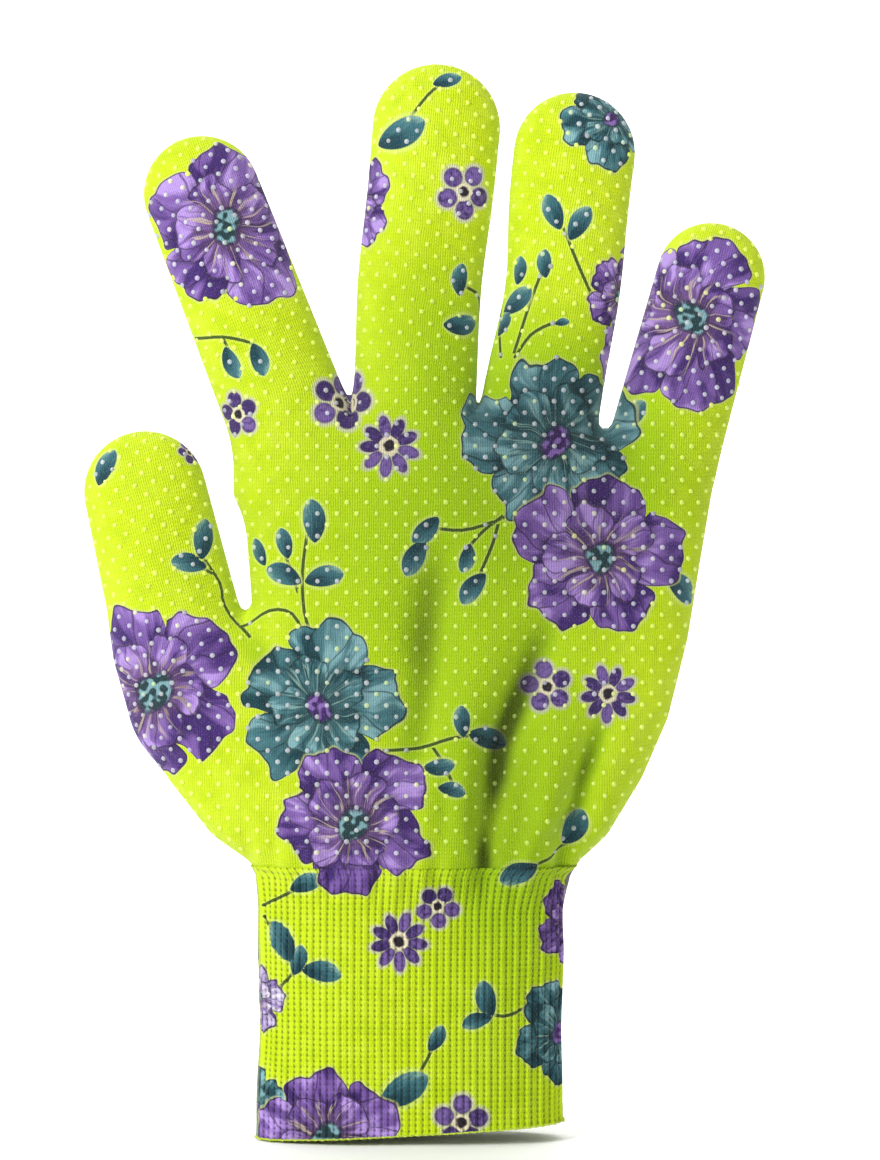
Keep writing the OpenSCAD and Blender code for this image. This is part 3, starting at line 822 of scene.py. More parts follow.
ring_x = np.sin(np.linspace(-math.pi / 2, math.pi / 2, RING_HALF)) * (REF_HALF - 1e-3) + CUFF_X
ring_y = np.sqrt(np.maximum(sample(THICK2, ring_x, np.full(ring_x.shape, REF_Z)), 0))
ring_y[0] = ring_y[-1] = 0
# palm half towards +X, back half returning, first point repeated
ring = np.vstack([np.stack([ring_x, -ring_y], 1), np.stack([ring_x[::-1], ring_y[::-1]], 1)])
ring = np.vstack([np.delete(ring, [RING_HALF, 2 * RING_HALF - 1], axis=0), ring[:1]])
ring_arc = np.concatenate([[0], np.cumsum(np.hypot(*np.diff(ring, axis=0).T))])
PERIMETER = ring_arc[-1]
column_arc = (np.arange(COLUMNS) + 0.5) / COLUMNS * PERIMETER
column_x, column_y = (np.interp(column_arc, ring_arc, ring[:, i]) for i in (0, 1))
tangent_x, tangent_y = (
    np.interp(column_arc + 0.4, ring_arc, ring[:, i], period=PERIMETER)
    - np.interp(column_arc - 0.4, ring_arc, ring[:, i], period=PERIMETER) for i in (0, 1))
tangent = np.hypot(tangent_x, tangent_y)
out_x, out_y = tangent_y / tangent, -tangent_x / tangent
rows = np.concatenate([np.arange(0, CUFF_TOP - 0.1, ROW_STEP), [CUFF_TOP]])
ROWS = len(rows)
wale_phase = (np.arange(COLUMNS) + 0.5) / COLUMNS * WALES
rib = 0.26 * np.cos(TURN * wale_phase) + 0.13 * np.cos(math.pi * wale_phase)


def plain_row(z):
    """The ring at height z, fitted to the glove's outline there."""
    z = max(z, 24.0)
    search = np.linspace(25, 40, 300)
    right, left = (np.interp(0, -sample(EDGE, xs, np.full(300, z)), xs)
                   for xs in (search, -search))
    x = (column_x - CUFF_X) / REF_HALF * ((right - left) / 2) + (right + left) / 2
    return x, column_y * math.sqrt(sample(THICK2, CUFF_X, z) / sample(THICK2, CUFF_X, REF_Z))


def rim_z(x):
    """The rim rises towards +X."""
    return 0.35 + (x + 33.4) / 66.8 * 3.9


def cuff_wall(rib_share, offset):
    """Vertices of one wall, rows x columns x 3."""
    out = np.zeros((ROWS, COLUMNS, 3))
    for i, z in enumerate(rows):
        x, y = plain_rows[i]
        level = np.full(COLUMNS, z)
        # unevenness of stretchy cloth, least near the hand
        loose = 0.55 * (1 - z / CUFF_TOP) + 0.25
        bulge = loose * lump(x, level, 17, 31) + 0.25 * lump(x + 60 * (y > 0), level, 8, 32)
        bulge = bulge * unit((CUFF_TOP - z) / 8.0)
        # near its top the cuff takes on the hand's creases, and at the rim it flares
        creases = relief(x, np.full(COLUMNS, GATHER_Z), np.where(y < 0, -1.0, 1.0))
        hold = (z - 49.0) / 10.0
        bulge = bulge + creases * smooth(hold) + 0.20 * unit(hold)
        bulge = bulge + 0.5 * max(1 - z / 9, 0) ** 2
        fade = np.clip((CUFF_TOP + 0.6 - z) / 4.0, 0.15, 1)
        outward = bulge + rib_share * rib * fade + offset
        x, y = x + out_x * outward, y + out_y * outward
        # the lowest 26 mm lean over to meet the slanting rim
        slanted = z + (rim_z(x) - z) * unit(1 - z / 26.0) ** 1.5
        out[i] = np.stack([x, y, np.maximum(slanted, 0.25)], 1)
    return out


plain_rows = [plain_row(z) for z in rows]
CUFF_WALLS = (cuff_wall(1.0, 0.16), cuff_wall(0.5, -1.35))      # outer, inner


def build_cuff():
    """Outer wall upwards, then inner wall downwards, closed at the top and at the rim."""
    verts = np.vstack([CUFF_WALLS[0].reshape(-1, 3), CUFF_WALLS[1][::-1].reshape(-1, 3)])
    i, j = np.meshgrid(np.arange(2 * ROWS), np.arange(COLUMNS), indexing="ij")
    i, j = i.ravel(), j.ravel()
    next_i, next_j = (i + 1) % (2 * ROWS), (j + 1) % COLUMNS
    faces = np.stack([i * COLUMNS + j, i * COLUMNS + next_j,
                      next_i * COLUMNS + next_j, next_i * COLUMNS + j], 1)

    # print coordinates: arc from the middle of the palm side, on the flattened tube
    arc = np.tile(column_arc, 2 * ROWS)
    from_palm = arc - np.interp(CUFF_X, ring[:RING_HALF, 0], ring_arc[:RING_HALF])
    from_palm = np.where(from_palm > PERIMETER / 2, from_palm - PERIMETER, from_palm)
    on_palm = np.abs(from_palm) <= PERIMETER / 4
    flat_arc = np.where(on_palm, from_palm,
                        np.sign(from_palm) * (PERIMETER / 2 - np.abs(from_palm)))
    flat_x = CUFF_X + flat_arc * 0.985
    flat_z = verts[:, 2].copy()
    # near the top they become exactly the hand's own
    plain_x = np.array([x for x, _ in plain_rows])
    plain_x = np.concatenate([plain_x.ravel(), plain_x[::-1].ravel()])
    plain_z = np.repeat(np.concatenate([rows, rows[::-1]]), COLUMNS)
    hand_x, hand_z = flatten(plain_x, plain_z)
    join = smooth((plain_z - 46.0) / 11.0)
    flat_x = flat_x + (hand_x - flat_x) * join
    flat_z = flat_z + (hand_z - flat_z) * join

    side = np.where(on_palm[faces[:, 0]], -1, 1)
    corners = faces.ravel()
    attrs = motif_attrs(flat_x[corners], flat_z[corners], flat_x[faces[:, 0]],
                        flat_z[faces].mean(1), side)
    # the arc carries on past the last column, so that stitches don't run backwards there
    stitch_arc = arc[faces]
    stitch_arc[j == COLUMNS - 1, 1:3] += PERIMETER
    from_edge = (PERIMETER / 4 - np.abs(flat_arc))[corners]
    attrs["kn"] = np.stack([stitch_arc.ravel() / PERIMETER * WALES, flat_z[corners],
                            from_edge], 1)
    # painted shade factor for the cuff, without creases
    attrs["sh"] = painted_shade(verts[corners, 0], np.minimum(verts[corners, 2], 57),
                       np.repeat(side, 4), np.zeros(len(corners)))
    cuff = add_object("cuff_rib_knit", verts, faces, attrs)
    cuff.data.polygons.foreach_set("material_index", (i >= ROWS).astype(np.int32))


build_cuff()


# ------------------------------------------------------------------ threads of the cuff
def sweep(paths, radius, sides, closed=False):
    """Vertices and faces of round threads along paths (each n x 3)."""
    verts, faces, base = [], [], 0
    angle = (np.arange(sides) * TURN / sides)[None, :, None]
    for path in paths:
        n = len(path)
        if closed:
            t = np.roll(path, -1, 0) - np.roll(path, 1, 0)
        else:
            t = np.gradient(path, axis=0)
        t /= np.linalg.norm(t, axis=1, keepdims=True) + 1e-9
        a = np.empty_like(t)
        a[0] = np.cross(t[0], (1.0, 0, 0) if abs(t[0, 2]) > 0.9 else (0, 0, 1.0))
        a[0] /= np.linalg.norm(a[0])
        # carry the frame along, so that it doesn't twist
        for i in range(1, n):
            v = a[i - 1] - t[i] * (a[i - 1] @ t[i])
            a[i] = v / np.linalg.norm(v)
        b = np.cross(t, a)
        circle = a[:, None, :] * np.cos(angle) + b[:, None, :] * np.sin(angle)
        verts.append((path[:, None, :] + radius * circle).reshape(-1, 3))
        i, j = np.meshgrid(np.arange(n if closed else n - 1), np.arange(sides), indexing="ij")
        i, j = i.ravel(), j.ravel()
        i1, j1 = (i + 1) % n, (j + 1) % sides
        faces.append(np.stack([i1 * sides + j, i1 * sides + j1, i * sides + j1,
                               i * sides + j], 1) + base)
        base += n * sides
    return np.vstack(verts), np.vstack(faces)


def on_cuff(turn, z, offset, wall=0):
    """Point at a share of the way round, offset outwards from wall 0 (outer) or 1 (inner)."""
    grid = CUFF_WALLS[wall]
    column = (turn % 1.0) * COLUMNS - 0.5
    c0 = math.floor(column) % COLUMNS
    c1 = (c0 + 1) % COLUMNS
    fc = column - math.floor(column)
    row = np.clip(np.searchsorted(rows, z) - 1, 0, ROWS - 2)
    fr = np.clip((z - rows[row]) / (rows[row + 1] - rows[row]), -1.5, 1)
    a, b = (grid[row, c] * (1 - fr) + grid[row + 1, c] * fr for c in (c0, c1))
    outward = np.array([out_x[c0] * (1 - fc) + out_x[c1] * fc,
                        out_y[c0] * (1 - fc) + out_y[c1] * fc, 0])
    return a * (1 - fc) + b * fc + outward * offset


OVERLOCK_LOOPS = 96


def build_overlock():
    """Loops of thread over the raw edge, and a chain along each face."""
    random = np.random.default_rng(5)
    half = 0.42 / OVERLOCK_LOOPS
    loops = []
    for i in range(OVERLOCK_LOOPS):
        turn = (i + 0.5 + random.uniform(-0.10, 0.10)) / OVERLOCK_LOOPS
        top = 1.35 + random.uniform(-0.12, 0.12)
        rim = on_cuff(turn, 0.0, -0.5)
        rim[2] = max(on_cuff(turn, 0.0, 0)[2] - 0.16, 0.22)
        loops.append(smooth_curve([
            on_cuff(turn - half, top, 0.12),
            on_cuff(turn - 0.2 * half, 0.8, 0.20),
            on_cuff(turn + 0.05 * half, 0.22, 0.14),
            rim,
            on_cuff(turn + 0.2 * half, 0.3, -0.30, 1),
            on_cuff(turn + 0.4 * half, 1.2, -0.30, 1),
            on_cuff(turn + half, top + 0.6, -0.25, 1),
        ], 4))
    chains = []
    steps = OVERLOCK_LOOPS * 6
    for wall, offset, sway, height in ((0, 0.10, 0.12, 1.42), (1, -0.3, -0.12, 2.2)):
        path = []
        for turn in np.arange(steps) / steps:
            phase = TURN * turn * OVERLOCK_LOOPS
            path.append(on_cuff(turn, height + 0.36 * math.sin(phase),
                                offset + sway * math.cos(phase), wall))
        chains.append(np.array(path))
    loop_verts, loop_faces = sweep(loops, radius=0.19, sides=6)
    chain_verts, chain_faces = sweep(chains, radius=0.17, sides=6, closed=True)
    add_object("overlock_thread", np.vstack([loop_verts, chain_verts]),
               np.vstack([loop_faces, chain_faces + len(loop_verts)]))


def build_elastic():
    """Elastic threads round the inner wall, every few courses."""
    steps = WALES * 4
    rings = []
    for i, z in enumerate(np.linspace(6.5, 55.0, 14)):
        rings.append(np.array([
            on_cuff(k / steps, z + 0.12 * math.sin(k * 2.1 + i),
                    -0.22 + 0.10 * math.cos(TURN * k / steps * WALES), 1)
            for k in range(steps)]))
    add_object("elastic_threads", *sweep(rings, radius=0.19, sides=5, closed=True))


build_overlock()
build_elastic()

# ------------------------------------------------------------------ grip dots on the palm side
DOT_PITCH_X, DOT_PITCH_Z = 4.25, 4.85
DOT_SPACING = 1.75             # dots closer than this are thinned out
DOT_SIDES = 10
DOT_RINGS = [(0.58, -0.14), (0.53, 0.08), (0.38, 0.24), (0.19, 0.31)]     # radius, height
DOT_CROWN = 0.325


def unknit(u, v, finger_number):
    """Flattened place of stitch coordinates, and the error left in them."""
    p, q = u.copy(), v.copy()
    for _ in range(60):
        a, b = knit_coords(p, q, finger_number)
        p, q = p + 0.5 * (u - a), q + 0.5 * (v - b)
    a, b = knit_coords(p, q, finger_number)
    return p, q, np.hypot(a - u, b - v)


def place_dots():
    """Columns x, z and flattened p, q. Staggered rows follow each finger's stitches."""
    half_rows = np.arange(10, 110)
    u, v = np.meshgrid(np.arange(-30, 30) * DOT_PITCH_X, half_rows * DOT_PITCH_Z / 2,
                       indexing="ij")
    u = (u + (half_rows % 2)[None, :] * DOT_PITCH_X / 2).ravel() + 0.9
    v = v.ravel()
    found = []
    for number in range(len(FINGERS)):
        p, q, error = unknit(u, v, np.full(u.shape, number))
        x, z = unflatten(p, q)
        a, b = flatten(x, z)
        ok = ((error < 0.5) & (x > X_MIN + 2) & (x < X_MAX - 2) & (z > 61.5) & (z < Z_MAX - 2)
              & (sample(THICK2, x, z) > 0.8 ** 2) & (sample(EDGE, x, z) > 0.05)
              & (finger_of(x, z) == number) & (np.hypot(a - p, b - q) < 0.4))
        found.append(np.stack([x, z, p, q], 1)[ok])
    found = np.vstack(found)
    # drop those that fall together where two fingers' rows meet
    keep = np.ones(len(found), bool)
    tree = KDTree(len(found))
    for i, dot in enumerate(found):
        tree.insert((dot[0], 0, dot[1]), i)
    tree.balance()
    for i, dot in enumerate(found):
        if keep[i]:
            for _, j, _ in tree.find_range((dot[0], 0, dot[1]), DOT_SPACING):
                if j > i:
                    keep[j] = False
    return found[keep]


def dot_frames(x, z, height):
    """Centres on the creased skin, and normals averaged from the skin near them."""
    y = -np.sqrt(np.maximum(sample(THICK2, x, z), 1e-4))
    base_normals = skin_normal(x, y, z)
    centres = np.stack([x, y, z], 1) + base_normals * height[:, None]
    tree = KDTree(len(SKIN))
    for i, point in enumerate(SKIN):
        tree.insert(point, i)
    tree.balance()
    normals = np.zeros_like(centres)
    for i, point in enumerate(centres):
        for _, j, distance in tree.find_n(point, 5):
            if SKIN_NORMALS[j] @ base_normals[i] > 0:
                normals[i] += SKIN_NORMALS[j] / (distance + 0.2)
    return centres, normalise(normals)


def dot_quads():
    """Faces of one dot: bands between its rings, then pairs of sectors under the crown."""
    quads = []
    for band in range(len(DOT_RINGS) - 1):
        low, high = band * DOT_SIDES, (band + 1) * DOT_SIDES
        for j in range(DOT_SIDES):
            k = (j + 1) % DOT_SIDES
            quads.append((low + j, high + j, high + k, low + k))
    top, crown = (len(DOT_RINGS) - 1) * DOT_SIDES, len(DOT_RINGS) * DOT_SIDES
    for j in range(0, DOT_SIDES, 2):
        quads.append((top + j, crown, top + (j + 2) % DOT_SIDES, top + (j + 1) % DOT_SIDES))
    return np.array(quads)[:, ::-1]


def build_dots():
    dots = place_dots()
    side = np.full(len(dots), -1.0)
    height = relief(dots[:, 0], dots[:, 1], side)
    shade = painted_shade(dots[:, 0], dots[:, 1], side, height)
    centres, normals = dot_frames(dots[:, 0], dots[:, 1], height)
    piece = piece_of(dots[:, 0], dots[:, 1])
    angle = (np.arange(DOT_SIDES) * TURN / DOT_SIDES)[None, :, None]
    quads = dot_quads()
    per_dot = len(DOT_RINGS) * DOT_SIDES + 1
    for number, name in enumerate(PIECE_NAMES):
        chosen = np.nonzero(piece == number)[0]
        if len(chosen) == 0:
            continue
        centre, normal = centres[chosen], normals[chosen]
        t1 = normalise(np.cross(normal, np.array([0, 0, 1.0])))
        t2 = np.cross(normal, t1)
        circle = t1[:, None] * np.cos(angle) + t2[:, None] * np.sin(angle)
        size = np.random.default_rng(100 + number).uniform(0.90, 1.08, len(chosen))
        verts = [centre[:, None] + radius * size[:, None, None] * circle
                 + normal[:, None] * lift for radius, lift in DOT_RINGS]
        verts = np.concatenate(verts + [(centre + normal * DOT_CROWN)[:, None]], 1)
        faces = quads[None] + (np.arange(len(chosen)) * per_dot)[:, None, None]
        of_face = np.repeat(chosen, len(quads))
        of_corner = np.repeat(of_face, 4)
        p, q = dots[of_corner, 2], dots[of_corner, 3]
        attrs = motif_attrs(p, q, dots[of_face, 2], dots[of_face, 3],
                            np.full(len(of_face), -1))
        attrs["kn"] = np.stack([p, q, np.full(len(p), -9.0)], 1)
        attrs["sh"] = shade[of_corner]
        add_object("dots_" + name, verts.reshape(-1, 3), faces.reshape(-1, 4), attrs)


build_dots()


# ------------------------------------------------------------------ bodies
def attach(o, piece):
    """Ride one body, or bend from one to the next over the fold's zone."""
    if piece == "palm":
        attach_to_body(o, "hand")
    elif piece == "wrist":
        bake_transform(o, "cuff", "hand", Vector((0, 0, (WRIST_Z - WRIST_HALF) * MM)),
                 Vector((0, 0, (WRIST_Z + WRIST_HALF) * MM)))
    else:
        name, part = piece.split("_")
        finger = FINGERS[name]
        fold = finger.parts.index(part)
        below = "hand" if fold == 0 else f"{name}_{finger.parts[fold - 1]}"
        start, end = finger.zones[fold]
        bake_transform(o, below, piece, finger.zone_point(fold, start), finger.zone_point(fold, end))


for name, o in objects.items():
    kind, _, piece = name.partition("_")
    attach(o, piece if kind in ("skin", "dots", "inside") else "wrist")


# ------------------------------------------------------------------ node helpers
def operation(kind):
    """Function that adds a Math node to the tree of the first Number it is given."""
    def apply(*values):
        net = next(value.net for value in values if isinstance(value, Number))
        node = net.tree.nodes.new("ShaderNodeMath")
        node.operation = kind
        net.put_all(node, values)
        return Number(net, node.outputs[0])
    return apply


subtract = operation("SUBTRACT")


class Number:
    """A number in a node tree. Arithmetic on it adds Math nodes."""

    def __init__(self, net, socket):
        self.net, self.socket = net, socket

    __add__ = __radd__ = operation("ADD")
    __mul__ = __rmul__ = operation("MULTIPLY")
    __sub__ = subtract
    __truediv__ = operation("DIVIDE")
    __pow__ = operation("POWER")
    __abs__ = operation("ABSOLUTE")

    def __rsub__(self, other):
        return subtract(other, self)

    def __neg__(self):
        return self * -1.0


floor, sine, cosine = operation("FLOOR"), operation("SINE"), operation("COSINE")
square_root, arctan2 = operation("SQRT"), operation("ARCTAN2")
rounded = operation("ROUND")
largest, smallest = operation("MAXIMUM"), operation("MINIMUM")


def step(x, start, end, low=0.0, high=1.0):
    """Eases from low to high as x goes from start to end."""
    node = x.net.tree.nodes.new("ShaderNodeMapRange")
    node.interpolation_type = "SMOOTHSTEP"
    x.net.put_all(node, (x, start, end, low, high))
    return Number(x.net, node.outputs[0])


def linear(colour):
    """Linear RGBA from sRGB 0-255."""
    out = []
    for value in colour:
        value = value / 255.0
        out.append(value / 12.92 if value <= 0.04045 else ((value + 0.055) / 1.055) ** 2.4)
    return (*out, 1.0)


class Net:
    """A material's node tree. Colours are sRGB 0-255 tuples or sockets."""

    def __init__(self, name, roughness):
        self.material = bpy.data.materials.new(name)
        self.material.use_nodes = True
        self.tree = self.material.node_tree
        self.shader = self.tree.nodes["Principled BSDF"]
        self.attributes = {}
        self.surface({"Roughness": roughness})

    def put(self, target, value):
        if isinstance(value, Number):
            value = value.socket
        if hasattr(value, "is_output"):
            self.tree.links.new(value, target)
        else:
            target.default_value = value

    def put_all(self, node, values):
        for i, value in enumerate(values):
            self.put(node.inputs[i], value)

    def surface(self, values):
        for name, value in values.items():
            self.put(self.shader.inputs[name], value)

    def separate(self, vector):
        node = self.tree.nodes.new("ShaderNodeSeparateXYZ")
        self.tree.links.new(vector, node.inputs[0])
        return [Number(self, output) for output in node.outputs]

    def attribute(self, name):
        if name not in self.attributes:
            node = self.tree.nodes.new("ShaderNodeAttribute")
            node.attribute_name = name
            self.attributes[name] = self.separate(node.outputs["Vector"])
        return self.attributes[name]

    def texture(self, kind, x, y, z):
        node = self.tree.nodes.new(kind)
        place = self.tree.nodes.new("ShaderNodeCombineXYZ")
        self.put_all(place, (x, y, z))
        self.tree.links.new(place.outputs[0], node.inputs["Vector"])
        return node

    def noise(self, x, y, z, detail):
        node = self.texture("ShaderNodeTexNoise", x, y, z)
        node.inputs["Scale"].default_value = 1.0
        node.inputs["Detail"].default_value = detail
        return Number(self, node.outputs[0])

    def random(self, x, y, z):
        node = self.texture("ShaderNodeTexWhiteNoise", x, y, z)
        return Number(self, node.outputs["Value"])

    def mix_node(self, factor, a, b):
        node = self.tree.nodes.new("ShaderNodeMix")
        node.data_type = "RGBA"
        self.put(node.inputs["Factor"], factor)
        for i, colour in ((6, a), (7, b)):
            self.put(node.inputs[i], linear(colour) if isinstance(colour, tuple) else colour)
        return node

    def mix(self, factor, a, b):
        """a where factor is 0, b where it is 1."""
        return self.mix_node(factor, a, b).outputs[2]

    def gain(self, colour, factor):
        """Colour times a number."""
        grey = self.tree.nodes.new("ShaderNodeCombineColor")
        self.put_all(grey, (factor,) * 3)
        node = self.mix_node(1.0, colour, grey.outputs[0])
        node.blend_type = "MULTIPLY"
        return node.outputs[2]

    def bump(self, height, distance, strength):
        node = self.tree.nodes.new("ShaderNodeBump")
        node.inputs["Strength"].default_value = strength
        node.inputs["Distance"].default_value = distance
        self.put(node.inputs["Height"], height)
        return node.outputs[0]


# ------------------------------------------------------------------ print
LIME, LIME_WARM, LIME_DARK = (199, 223, 18), (204, 228, 34), (174, 205, 8)
# LIME_LIGHT is for random mottle; the greener lime after it is for painted shade
LIME_LIGHT, LIME_SHADED = (219, 238, 66), (176, 218, 8)
# petal tones, outline, throat and its veins, centre
TEAL = dict(dark=(27, 69, 79), mid=(70, 119, 127), light=(133, 179, 185), edge=(20, 48, 52),
            throat=(58, 92, 96), vein=(148, 186, 178), vein_dark=(30, 58, 56),
            core_dark=(64, 40, 98), core_light=(140, 108, 182))
PURPLE = dict(dark=(66, 40, 110), mid=(125, 92, 167), light=(182, 150, 222),
              edge=(50, 32, 70), throat=(98, 74, 102), vein=(204, 186, 162),
              vein_dark=(74, 56, 52), core_dark=(36, 62, 68), core_light=(128, 170, 178))
PALE = dict(mid=(196, 182, 220), light=(236, 230, 246), dark=(116, 84, 164))


def lime_ground(net, x, z):
    """Mottled lime, greener where shade is painted."""
    broad = net.noise(x * 0.035, z * 0.035, 2.0, detail=2.0)
    fine = net.noise(x * 0.22, z * 0.22, 5.0, detail=3.0)
    colour = net.mix(step(broad, 0.35, 0.65), LIME, LIME_WARM)
    colour = net.mix(step(fine, 0.48, 0.70) * 0.35, colour, LIME_LIGHT)
    colour = net.mix(step(fine, 0.50, 0.30) * 0.35, colour, LIME_DARK)
    # painted shade: the ground turns a greener lime where the shade factor is low
    _, tone, _ = net.attribute("sh")
    return net.mix(step(tone, 1.0, 0.62), colour, LIME_SHADED)


def stem_layer(net, ground):
    along, across, length = net.attribute("mD")
    beyond = largest(largest(-along, along - length) - 0.9, 0.0)
    d = square_root(across * across + beyond * beyond)
    halo = net.mix(step(d, 0.95, 0.40) * 0.40, ground, (222, 234, 120))
    return net.mix(step(d, 0.44, 0.26) * 0.94, halo, (44, 72, 28))


def leaf_layer(net, ground):
    along, across, seed = net.attribute("mC")
    seed = rounded(seed)
    across = across + (1.0 - along * along) * 0.10 * sine(seed * 2.4)
    half = largest(1.0 - along * along, 0.0) ** 0.66 * 0.52 * (1.0 + along * 0.14)
    d = abs(across) - half
    mask = step(d, 0.03, -0.03) * step(abs(along), 1.0, 0.985)
    halo = step(d, 0.26, 0.06) * step(abs(along), 1.16, 1.0)
    # lighter towards the tip and one side, with a darker midrib
    grain = net.noise(along * 2.5, across * 9.0, seed, detail=2.0)
    tone = (along + 1.0) * 0.5 + (grain - 0.5) * 0.7
    tone = tone * 0.75 + step(across / largest(half, 0.05), -0.5, 0.9) * 0.35
    colour = net.mix(step(tone, 0.20, 0.74), (24, 64, 76), (62, 112, 122))
    colour = net.mix(step(tone, 0.70, 1.08), colour, (132, 172, 160))
    midrib = step(abs(across + 0.02), 0.09, 0.02) * 0.35 * step(along, 0.6, -0.2)
    colour = net.mix(midrib, colour, (24, 56, 60))
    return net.mix(mask, net.mix(halo * 0.55, ground, (218, 234, 132)), colour)


def small_layer(net, ground):
    """Small flowers of five or nine separate oval petals."""
    u, v, seed = net.attribute("mB")
    seed = rounded(seed)
    petals, _, _ = net.attribute("mB2")
    r = square_root(u * u + v * v)
    turn = (arctan2(v, u) + seed) / TURN
    turn = (turn - floor(turn)) * petals
    number = floor(turn)
    angle = (turn - number - 0.5) * TURN / petals
    random = net.random(number, seed, 4.0)
    many = step(petals, 6.0, 8.0)
    # the petal's ellipse: 1 on its edge
    along = r * cosine(angle) - 0.62 - (random - 0.5) * 0.10
    across = r * sine(angle)
    oval = square_root(abs(along / 0.36) ** 2.0 + abs(across / (0.345 - many * 0.145)) ** 2.0)
    halo = largest(step(oval, 1.52, 1.05), step(r, 0.60, 0.40)) * step(r, 1.5, 1.2)
    out = net.mix(halo * 0.80, ground, (206, 200, 186))
    grain = net.noise(u * 5.0, v * 5.0, seed, detail=1.5)
    petal = net.mix(step(grain + (random - 0.5) * 0.5, 0.32, 0.72),
                    (64, 44, 104), (122, 96, 164))
    petal = net.mix(step(oval, 0.60, 1.0) * 0.55, petal, (66, 54, 84))
    out = net.mix(step(oval, 1.08, 0.86), out, petal)
    # cream ring round a dark centre
    out = net.mix(step(r + (grain - 0.5) * 0.2, 0.34, 0.27), out, (232, 222, 190))
    return net.mix(step(r + (grain - 0.5) * 0.14, 0.23, 0.15), out, (42, 34, 46))


def whorl(net, r, turn, seed, flower_mm, size, notch, salt):
    """Five ruffled petals: tone 0-1, mask, distance outside in mm, dark lines,
    fine grain and a random number for each petal."""
    number = floor(turn)
    across = turn - number - 0.5
    random = net.random(number, seed, 1.0 + salt)
    random2 = net.random(number, seed, 2.0 + salt)
    from_middle = abs(across)
    ruffle = (sine(across * 15.0 + random * 6.28) * 0.034
              + sine(across * 33.0 + random2 * 6.28) * 0.012)
    edge = 0.975 - (from_middle * 2.0) ** 3.0 * notch + ruffle + (random2 - 0.5) * 0.12
    outside = (r - edge * size) * flower_mm
    gap = (0.5 - from_middle) * (TURN / 5) * r * flower_mm
    fold = net.noise(across * 4.4 + number * 7.0, r * 2.6 / size, seed * 1.7 + salt, detail=1.0)
    fine = net.noise(across * 16.0 + number * 11.0, r * 1.9 / size, seed * 2.3 + salt,
                     detail=1.0)
    share = r * (1.0 / size)
    # a light middle, shade at one side and light at the other
    lobe = step(abs(across - (random - 0.5) * 0.5), 0.30, 0.02) * step(share, 0.34, 0.72)
    under = step(across, 0.08, 0.5) * step(share, 1.02, 0.45)
    lit = step(across, -0.20, -0.44) * step(share, 0.30, 0.66)
    tone = (0.25 + (fold - 0.5) * 1.9 + (fine - 0.5) * 0.8 + lobe * 0.38 + lit * 0.40
            - under * 0.50 + (random2 - 0.5) * 0.34)
    tone = smallest(largest(tone, 0.0), 1.0)
    # dark lines: the petal's outline, the gaps between petals and short creases
    outline = 1.0 - step(abs(outside + 0.12), 0.12, 0.40)
    gap_line = (1.0 - step(gap, 0.08, 0.40)) * step(share, 0.16, 0.30)
    crease = abs(sine(across * 8.5 + random * 5.0 + share * 3.6))
    crease = step(crease, 0.15, 0.02) * step(share, 0.46, 0.64) * 0.8
    lines = largest(largest(outline, gap_line * 0.9), crease)
    return tone, 1.0 - step(outside, -0.10, 0.14), outside, lines, fine, random


def flower_layer(net, ground, name, teal, warp_u, warp_v, speck):
    u, v, seed = net.attribute(name)
    seed = rounded(seed)             # interpolation leaves it a hair off a whole number
    flower_mm, kind, _ = net.attribute(name + "2")
    u = u + warp_u * 0.36
    v = v + warp_v * 0.36
    r = square_root(u * u + v * v)
    turn = arctan2(v, u) * (5.0 / TURN) + 0.5
    look = dict(TEAL if teal else PURPLE)
    if not teal:
        is_pale = step(kind, 1.4, 1.6)
        for key, colour in PALE.items():
            look[key] = net.mix(is_pale, look[key], colour)

    def paint(tone):
        colour = net.mix(step(tone, 0.0, 0.5), look["dark"], look["mid"])
        return net.mix(step(tone, 0.50, 0.98), colour, look["light"])

    tone, mask, outside, lines, fine, random = whorl(
        net, r, turn, seed, flower_mm, size=1.0, notch=0.24, salt=0.0)
    colour = net.mix(lines * 0.88, paint(tone), look["edge"])
    # inner whorl, turned about half a petal, casting a soft shade on the outer one
    inner_turn = turn + 0.5 + 0.12
    inner_turn = inner_turn - floor(inner_turn / 5.0) * 5.0
    tone, inner_mask, inner_outside, lines, inner_fine, _ = whorl(
        net, r, inner_turn, seed + 13.0, flower_mm, size=0.64, notch=0.30, salt=5.0)
    colour = net.gain(colour, step(inner_outside, 2.2, 0.0, low=1.0, high=0.70))
    colour = net.mix(inner_mask, colour, net.mix(lines * 0.85, paint(tone + 0.06),
                                                 look["edge"]))
    # throat with pale and dark veins
    colour = net.mix(step(r, 0.52, 0.16) * 0.60, colour, look["throat"])
    phase = turn * 9.4 + (inner_fine - 0.5) * 2.2 + r * 1.5
    vein = abs(sine(phase + (random - 0.5) * 1.2))
    vein = step(vein, 0.30, 0.08) * step(r, 0.17, 0.24) * step(r, 0.62, 0.40)
    colour = net.mix(vein * 0.66, colour, look["vein"])
    vein = abs(sine(phase + 0.55))
    vein = step(vein, 0.24, 0.08) * step(r, 0.20, 0.28) * step(r, 0.56, 0.36)
    colour = net.mix(vein * 0.5, colour, look["vein_dark"])
    # speckled centre with a dark ring
    core = net.mix(step(speck, 0.46, 0.62), look["core_dark"], look["core_light"])
    colour = net.mix(step(r + (fine - 0.5) * 0.12, 0.20, 0.15), colour, core)
    colour = net.mix(step(abs(r - 0.185), 0.035, 0.01) * 0.6, colour, look["edge"])
    halo = 1.0 - step(outside, 0.20, 0.80)
    return net.mix(mask, net.mix(halo * 0.50, ground, (214, 216, 140)), colour)


